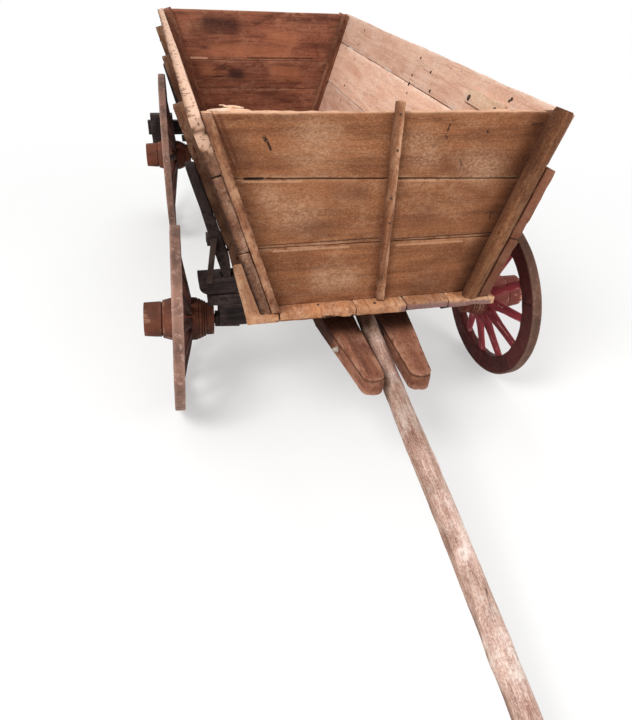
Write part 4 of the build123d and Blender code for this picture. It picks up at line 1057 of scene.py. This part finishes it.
def felloes(heap, radius, count, phase, seed):
    """Curved timbers, each over two spokes, their inner edges cut most where no spoke or joint is near."""
    outer = radius - TYRE_THICKNESS
    inner = outer - FELLOE_DEPTH
    half, pitch = TYRE_HALF, 2 * math.pi / count
    gap = JOINT / 2 / radius
    steps = np.linspace(-0.5, 1.5, FELLOE_RINGS)
    by_joint = np.minimum(steps + 0.5, 1.5 - steps)
    near = np.minimum(np.minimum(np.abs(steps), np.abs(steps - 1)), by_joint)
    cut = 0.0022 + 0.0028 * bump(near, 0.09, 0.2)
    flat = np.full_like(cut, half)
    outside = [(half - 0.0015, outer, 0), (half, outer - 0.0015, 0.5), (half, outer - 0.03, 0),
               (flat, inner + cut * 1.6, 0), (flat, inner + cut, 0.8),
               (flat - cut * 0.4, inner + cut * 0.36, 0.9), (flat - cut, inner, 0.8)]
    inside = [(-x, r, worn) for x, r, worn in reversed(outside)]
    columns = inside[-2:] + [(0, outer, 0)] + outside + [(0, inner, 0.1)] + inside[:-2]
    x = np.stack([steps * 0 + column[0] for column in columns], 1)
    r = np.stack([steps * 0 + column[1] for column in columns], 1)
    worn = np.tile([column[2] for column in columns], FELLOE_RINGS)
    shade = np.repeat(0.5 * (1 - bump(by_joint, 0.0, 0.03)), len(columns))
    for index in range(0, count, 2):
        turns = phase + pitch * (index + steps)
        turns[0] += gap
        turns[-1] -= gap
        number = seed + index
        points = polar(x, r, turns[:, None]).reshape(-1, 3)
        points[:, 0] += 0.0007 * rough(points, 0.06, number)
        wear = worn * bump(ripple(points, 0.05, number + 3), -0.6, 0.6)
        grain = own_grain(stacked(turns[:, None] * outer, r, x).reshape(-1, 3), number)
        heap.put(points, tube(FELLOE_RINGS, len(columns)), grain=grain, wear=wear, shade=shade)


def spokes(heap, radius, count, phase, seed, dirt_and_shade):
    """Tapered spokes, squared at the foot and oval farther out."""
    share = np.linspace(0, 1, SPOKE_RINGS)
    head = radius - TYRE_THICKNESS - FELLOE_DEPTH + TENON
    foot_x, foot_r = SPOKE_FOOT
    x = (foot_x + (SPOKE_HEAD - foot_x) * share)[:, None]
    r = (foot_r + (head - foot_r) * share)[:, None]
    thick = np.interp(share, (0, 0.2, 0.5, 1), (0.0170, 0.0165, 0.0145, 0.0122))[:, None]
    wide = np.interp(share, (0, 0.2, 0.5, 1), (0.0198, 0.0222, 0.0210, 0.0185))[:, None]
    power = np.interp(share, (0, 0.22, 0.45, 1), (7.0, 5.0, 2.5, 2.8))[:, None]
    angles = 2 * math.pi * (np.arange(SPOKE_SIDES) + 0.5) / SPOKE_SIDES
    cos, sin = np.cos(angles), np.sin(angles)
    out = np.sign(cos) * np.abs(cos) ** (2 / power) * thick
    off = np.sign(sin) * np.abs(sin) ** (2 / power) * wide
    edge = (bump(np.abs(cos * sin), 0.3, 0.5) * bump(share, 0.02, 0.25)[:, None]).ravel()
    # The last term is painted shade with some dirt, even along the spoke
    shade = 0.5 * (1 - bump(share, 0.0, 0.10)) + 0.35 * bump(share, 0.93, 1.0) + dirt_and_shade
    for index in range(count):
        turn = phase + 2 * math.pi * index / count
        number = seed + index
        place = stacked(r + number, off, out).reshape(-1, 3)
        carved = (1 - 0.035 * np.abs(rough(place, 0.05, number))).reshape(out.shape)
        tangent = np.array((0, -math.cos(turn), -math.sin(turn)))
        points = polar(x + out * carved, r, turn) + (off * carved)[:, :, None] * tangent
        wear = edge * bump(ripple(place, 0.04, number), -0.4, 0.6)
        heap.put(points.reshape(-1, 3), tube(SPOKE_RINGS, SPOKE_SIDES), grain=own_grain(place, number, 3.0),
                 wear=wear, shade=np.repeat(shade, SPOKE_SIDES))


def hub(heap, seed, dirt_and_shade):
    outline = np.array(HUB_OUTLINE)
    points = polar(outline[:, 0], outline[:, 1], circle(HUB_SIDES)[:, None]).reshape(-1, 3)
    skin = np.tile(outline[:, 1] > HUB_SKIN, HUB_SIDES)
    dents = 0.0010 * (0.4 + rough(points * (0.3, 1, 1), 0.035, seed))
    reach = np.hypot(points[:, 1], points[:, 2])
    points[:, 1:] *= (1 - np.where(skin, np.clip(dents, -0.0002, None), 0) / reach)[:, None]
    worn = np.tile(outline[:, 2], HUB_SIDES)
    wear = np.clip(worn, 0, 1) * bump(ripple(points, 0.04, seed), -0.6, 0.5)
    # Painted shade, with some dirt, over the hub's inner half
    shade = 0.55 * np.clip(-worn, 0, 1) + dirt_and_shade * (1 - bump(points[:, 0], -0.06, 0.0))
    heap.put(points, torus(HUB_SIDES, len(outline)), grain=points + seed, wear=wear, shade=shade)


def wheel(name, radius, count, phase, seed):
    """A wheel's four pieces, stood in their place in the cart."""
    left = name.endswith("left")
    joint = joint_named(f"{name}_spin")
    out = np.array(joint["axis"])
    ahead = unit(np.cross(UP, out))
    axes = np.array((out, ahead, np.cross(out, ahead)))
    # Last values: painted shade with some dirt on the hub's inner half, the spokes and the right wheels'
    # tyres
    pieces = (
        ("hub", "hub_paint", hub_paint if left else red_hub_paint,
         hub, (seed, 0.30 if name == "front_left" else 0.45)),
        ("spokes", "spoke_paint", shaded_dirty_spoke_paint if left else spoke_paint,
         spokes, (radius, count, phase, seed + 10, 0.15 if left else 0.05)),
        ("felloes", "felloe_paint", felloe_paint,
         felloes, (radius, count, phase, seed + 30)),
        ("tyre", "rusty_iron", tyre_iron,
         tyre, (radius, seed + 45, 0.0 if left else 0.52)))
    for part, slot, material, build, values in pieces:
        heap = Heap()
        build(heap, *values)
        heap.points = [np.array(joint["pos_m"]) + points @ axes for points in heap.points]
        heap.make(f"{name}_{part}_worn", f"{name}_wheel", slot, material, replaces=[f"{name}_{part}"])


for axle, radius, count, phase in WHEEL_ROWS:
    for side in ("left", "right"):
        seed = 400 + 100 * (axle == "rear") + 50 * (side == "right")
        wheel(f"{axle}_{side}", radius, count, math.radians(phase), seed)


# Nails, bolts and splinters

PLANK_NAIL_RISES = (0.05, 0.20, 0.29, 0.46, 0.545, 0.632)
# Ribs don't reach the nails higher than this
RIB_TOP_RISE = 0.62
RIB_PLACES = (0.0, 0.96, 1.982)
TAIL_NAIL_RISES = (0.05, 0.14, 0.23, 0.33, 0.42, 0.62)
# How far the nails of a row stand to one side and the other by turns
STAGGER = 0.012
# The centre batten's nails, as places across and above the floor
BATTEN_NAILS = ((0.010, 0.10), (0.017, 0.31), (0.012, 0.40), (0.016, 0.56), (0.013, 0.672))
# Big heads on the patch and small ones on the right wall, as places along and up
PATCH_HEADS = ((0.276, 1.243), (0.038, 1.246))
PATCH_STANDS_OUT = 0.0148
WALL_HEADS = ((0.769, 1.256), (0.695, 1.183), (0.970, 1.161), (-0.023, 1.301))
LEDGE_HEADS = ((-0.231, -0.402), (-0.012, -0.420))
BRAKE_BOLTS = (-0.73, -0.40, 0.40, 0.73)


def turned(heap, place, normal, rings, sides, turn=0.0):
    """A small closed form from rings of radius and height over a surface."""
    normal = unit(np.array(normal, float))
    first = unit(np.cross(normal, UP if abs(normal[2]) < 0.9 else RIGHT))
    second = np.cross(normal, first)
    turns = circle(sides, turn)
    flat = np.cos(turns)[:, None] * first + np.sin(turns)[:, None] * second
    points = np.concatenate([np.array(place) + radius * flat + height * normal for radius, height in rings])
    wear = np.repeat([0.0] + [0.7] * (len(rings) - 1), sides)
    heap.put(points, tube(len(rings), sides), grain=points, wear=wear)


def nail(heap, place, normal, radius=0.0065):
    """A hammered head, each a little different."""
    size = radius * random.uniform(0.85, 1.15)
    rings = ((size * 0.9, -0.002), (size, 0.0008), (size * 0.85, 0.0024), (size * 0.35, 0.0030))
    turned(heap, place, normal, rings, 9, random.uniform(0, 1))


def bolt(heap, place, normal, washer=0.020, nut=0.0125):
    """A washer, a six-sided nut and the bolt's end."""
    turned(heap, place, normal, ((washer, -0.001), (washer, 0.0022), (washer * 0.93, 0.0030)), 22)
    turned(heap, place, normal, ((nut, 0.002), (nut, 0.0115), (nut * 0.86, 0.0130)), 6, random.uniform(0, 1))
    turned(heap, place, normal, ((0.0062, 0.010), (0.0062, 0.0175), (0.0050, 0.0188)), 12)


def root_nails():
    heap = Heap()
    through = (WALL_THICKNESS + RIB_DEPTH) * math.sqrt(1 + WALL_FLARE ** 2)
    for side in (-1, 1):
        for y in RIB_PLACES:
            for index, rise in enumerate(PLANK_NAIL_RISES):
                z, along = FLOOR_TOP + rise, y + STAGGER * (-1) ** index
                half = inner_half(along, z)
                nail(heap, (side * half, along, z), (-side, 0, WALL_FLARE))
                if rise < RIB_TOP_RISE:
                    nail(heap, (side * (half + through), along, z), (side, 0, -WALL_FLARE), 0.0075)
    for x, rise in BATTEN_NAILS:
        y = BOARD_FOOT_Y + BOARD_LEAN * rise - BATTEN_THICKNESS
        nail(heap, (x, y, FLOOR_TOP + rise), (0, -1, BOARD_LEAN), 0.0045)
    for y, z in PATCH_HEADS:
        nail(heap, (inner_half(y, z) - PATCH_STANDS_OUT, y, z), (-1, 0, WALL_FLARE), 0.0125)
    for y, z in WALL_HEADS:
        nail(heap, (inner_half(y, z), y, z), (-1, 0, WALL_FLARE), 0.0090)
    for x, y in LEDGE_HEADS:
        nail(heap, (x, y, FLOOR_TOP), (0, 0, 1), 0.0060)
    heap.make("box_nails", "root", "old_iron", old_iron)


def tailboard_nails():
    heap = Heap()
    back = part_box("tailboard_battens")[1].y
    for x in (-0.3, 0.3):
        for index, rise in enumerate(TAIL_NAIL_RISES):
            nail(heap, (x + STAGGER * (-1) ** index, back, FLOOR_TOP + rise), (0, 1, 0), 0.0070)
    heap.make("tailboard_nails", "tailboard", "old_iron", old_iron)


def gear_bolts():
    heap = Heap()
    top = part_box("left_hound")[1].z
    bolt(heap, (-0.1660, -0.480, top - 0.026), (-1.0, -0.137, 0.0), 0.0120, 0.0095)
    heap.make("hound_side_bolt", "front_gear", "old_iron", pale_iron)
    heap = Heap()
    low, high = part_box("brake_beam")
    for x in BRAKE_BOLTS:
        bolt(heap, (x, (low.y + high.y) / 2, high.z), (0, 0, 1))
    heap.make("brake_bolts", "root", "old_iron", old_iron)


def sliver(heap, start, end, thickness, seed):
    """A torn strip of wood, pointed at both ends and a little bowed."""
    rings, sides = 22, 8
    share = np.linspace(0.01, 0.99, rings)
    start, end = np.array(start), np.array(end)
    bow = 0.10 * thickness * np.sin(math.pi * share)[:, None] * UP
    centres = start + (end - start) * share[:, None] + bow
    taper = np.sin(math.pi * share) ** 0.4
    turns = circle(sides)
    flat = thickness / 2 * np.cos(turns)[:, None] * BACK + thickness / 2 * np.sin(turns)[:, None] * UP
    points = (centres[:, None, :] + taper[:, None, None] * flat).reshape(-1, 3)
    points += 0.0022 * np.stack([rough(points, 0.02, seed + axis) for axis in range(3)], -1)
    heap.put(points, tube(rings, sides), grain=points + seed, wear=np.full(len(points), 0.8),
             tone=np.ones(len(points)), shade=0.16 + 0.25 * (rough(points, 0.012, seed + 5) > 0.2))


def splinters():
    heap = Heap()
    sliver(heap, (-0.598, -0.322, 1.3340), (-0.462, -0.322, 1.3310), 0.016, 801)
    sliver(heap, (-0.560, -0.316, 1.3480), (-0.486, -0.320, 1.3400), 0.007, 811)
    heap.make("front_splinters", "root", "box_wood", bleached_wood)


random.seed(7)
root_nails()
tailboard_nails()
gear_bolts()
splinters()


# Stage, light and camera

WHITE = (1.0, 1.0, 1.0, 1.0)
STAGE_HALF = 60.0
# The shadow lies around this place on the floor, and fades between these distances from it
STAGE_MIDDLE, SHADOW_REACH = (0.0, 0.6, 0.0), (1.6, 4.6)
# How bright the white world is as a light
WORLD_LIGHT = 0.55
# Each lamp's name, place, target, size and power
LAMPS = (
    ("key", (-3.5, -2.5, 5.5), (0.0, 0.5, 0.6), 3.0, 330),
    ("fill", (4.5, -3.5, 3.5), (0.0, 0.5, 0.6), 4.0, 120),
    ("rear", (1.0, 6.5, 5.0), (0.0, 1.0, 0.6), 4.0, 160),
)
# The camera was solved from the photograph: its place, the directions of the picture's right, down and ahead
CAMERA_PLACE = Vector((-0.73788, -2.23491, 1.78289))
CAMERA_RIGHT = Vector((0.97102, -0.23363, 0.05037))
CAMERA_DOWN = Vector((-0.09782, -0.58079, -0.80815))
CAMERA_AHEAD = Vector((0.21807, 0.77981, -0.58681))
PICTURE_WIDTH, FOCAL_PIXELS, SENSOR = 632, 584.487, 36.0


def stage():
    """A pale floor that keeps the cart's shadow and fades to plain white farther off."""
    mesh = bpy.data.meshes.new("floor")
    corners = [(x * STAGE_HALF, y * STAGE_HALF, 0) for x, y in ((-1, -1), (1, -1), (1, 1), (-1, 1))]
    mesh.from_pydata(corners, [], [(0, 1, 2, 3)])
    floor = linked("floor", mesh)
    p = Paint(bpy.data.materials.new("pale_floor"))
    mesh.materials.append(p.finish((0.88, 0.88, 0.87, 1.0), 0.9))
    place = p.node("ShaderNodeTexCoord", {}).outputs["Object"]
    away = p.node("ShaderNodeVectorMath", {0: place, 1: STAGE_MIDDLE}, operation="DISTANCE").outputs["Value"]
    share = p.times(p.seen(), p.span(away, *SHADOW_REACH, 0.45, 1.0))
    white = p.node("ShaderNodeEmission", {"Color": WHITE, "Strength": 1.0}).outputs[0]
    mixed = p.node("ShaderNodeMixShader", {0: share, 1: p.shader.outputs[0], 2: white}).outputs[0]
    p.feed(p.tree.nodes["Material Output"].inputs["Surface"], mixed)


def world():
    """White to the camera and dimmer as a light."""
    made = bpy.data.worlds.new("studio")
    bpy.context.scene.world = made
    p = Paint(made)
    back = p.tree.nodes["Background"]
    p.feed(back.inputs["Color"], WHITE)
    p.feed(back.inputs["Strength"], p.span(p.seen(), 0.0, 1.0, WORLD_LIGHT, 1.0))


def area_light(name, place, target, size, power):
    lamp = bpy.data.lights.new(name, "AREA")
    lamp.shape = "DISK"
    lamp.size = size
    lamp.energy = power
    place, target = Vector(place), Vector(target)
    turn = (target - place).to_track_quat("-Z", "Y").to_matrix().to_4x4()
    linked(name, lamp).matrix_world = Matrix.Translation(place) @ turn


def camera():
    data = bpy.data.cameras.new("camera")
    data.sensor_fit = "HORIZONTAL"
    data.sensor_width = SENSOR
    data.lens = FOCAL_PIXELS * SENSOR / PICTURE_WIDTH
    made = linked("camera", data)
    turn = Matrix((CAMERA_RIGHT, -CAMERA_DOWN, -CAMERA_AHEAD)).transposed().to_4x4()
    made.matrix_world = Matrix.Translation(CAMERA_PLACE) @ turn
    bpy.context.scene.camera = made


stage()
world()
for lamp in LAMPS:
    area_light(*lamp)
camera()
bpy.context.scene.view_settings.view_transform = "Standard"
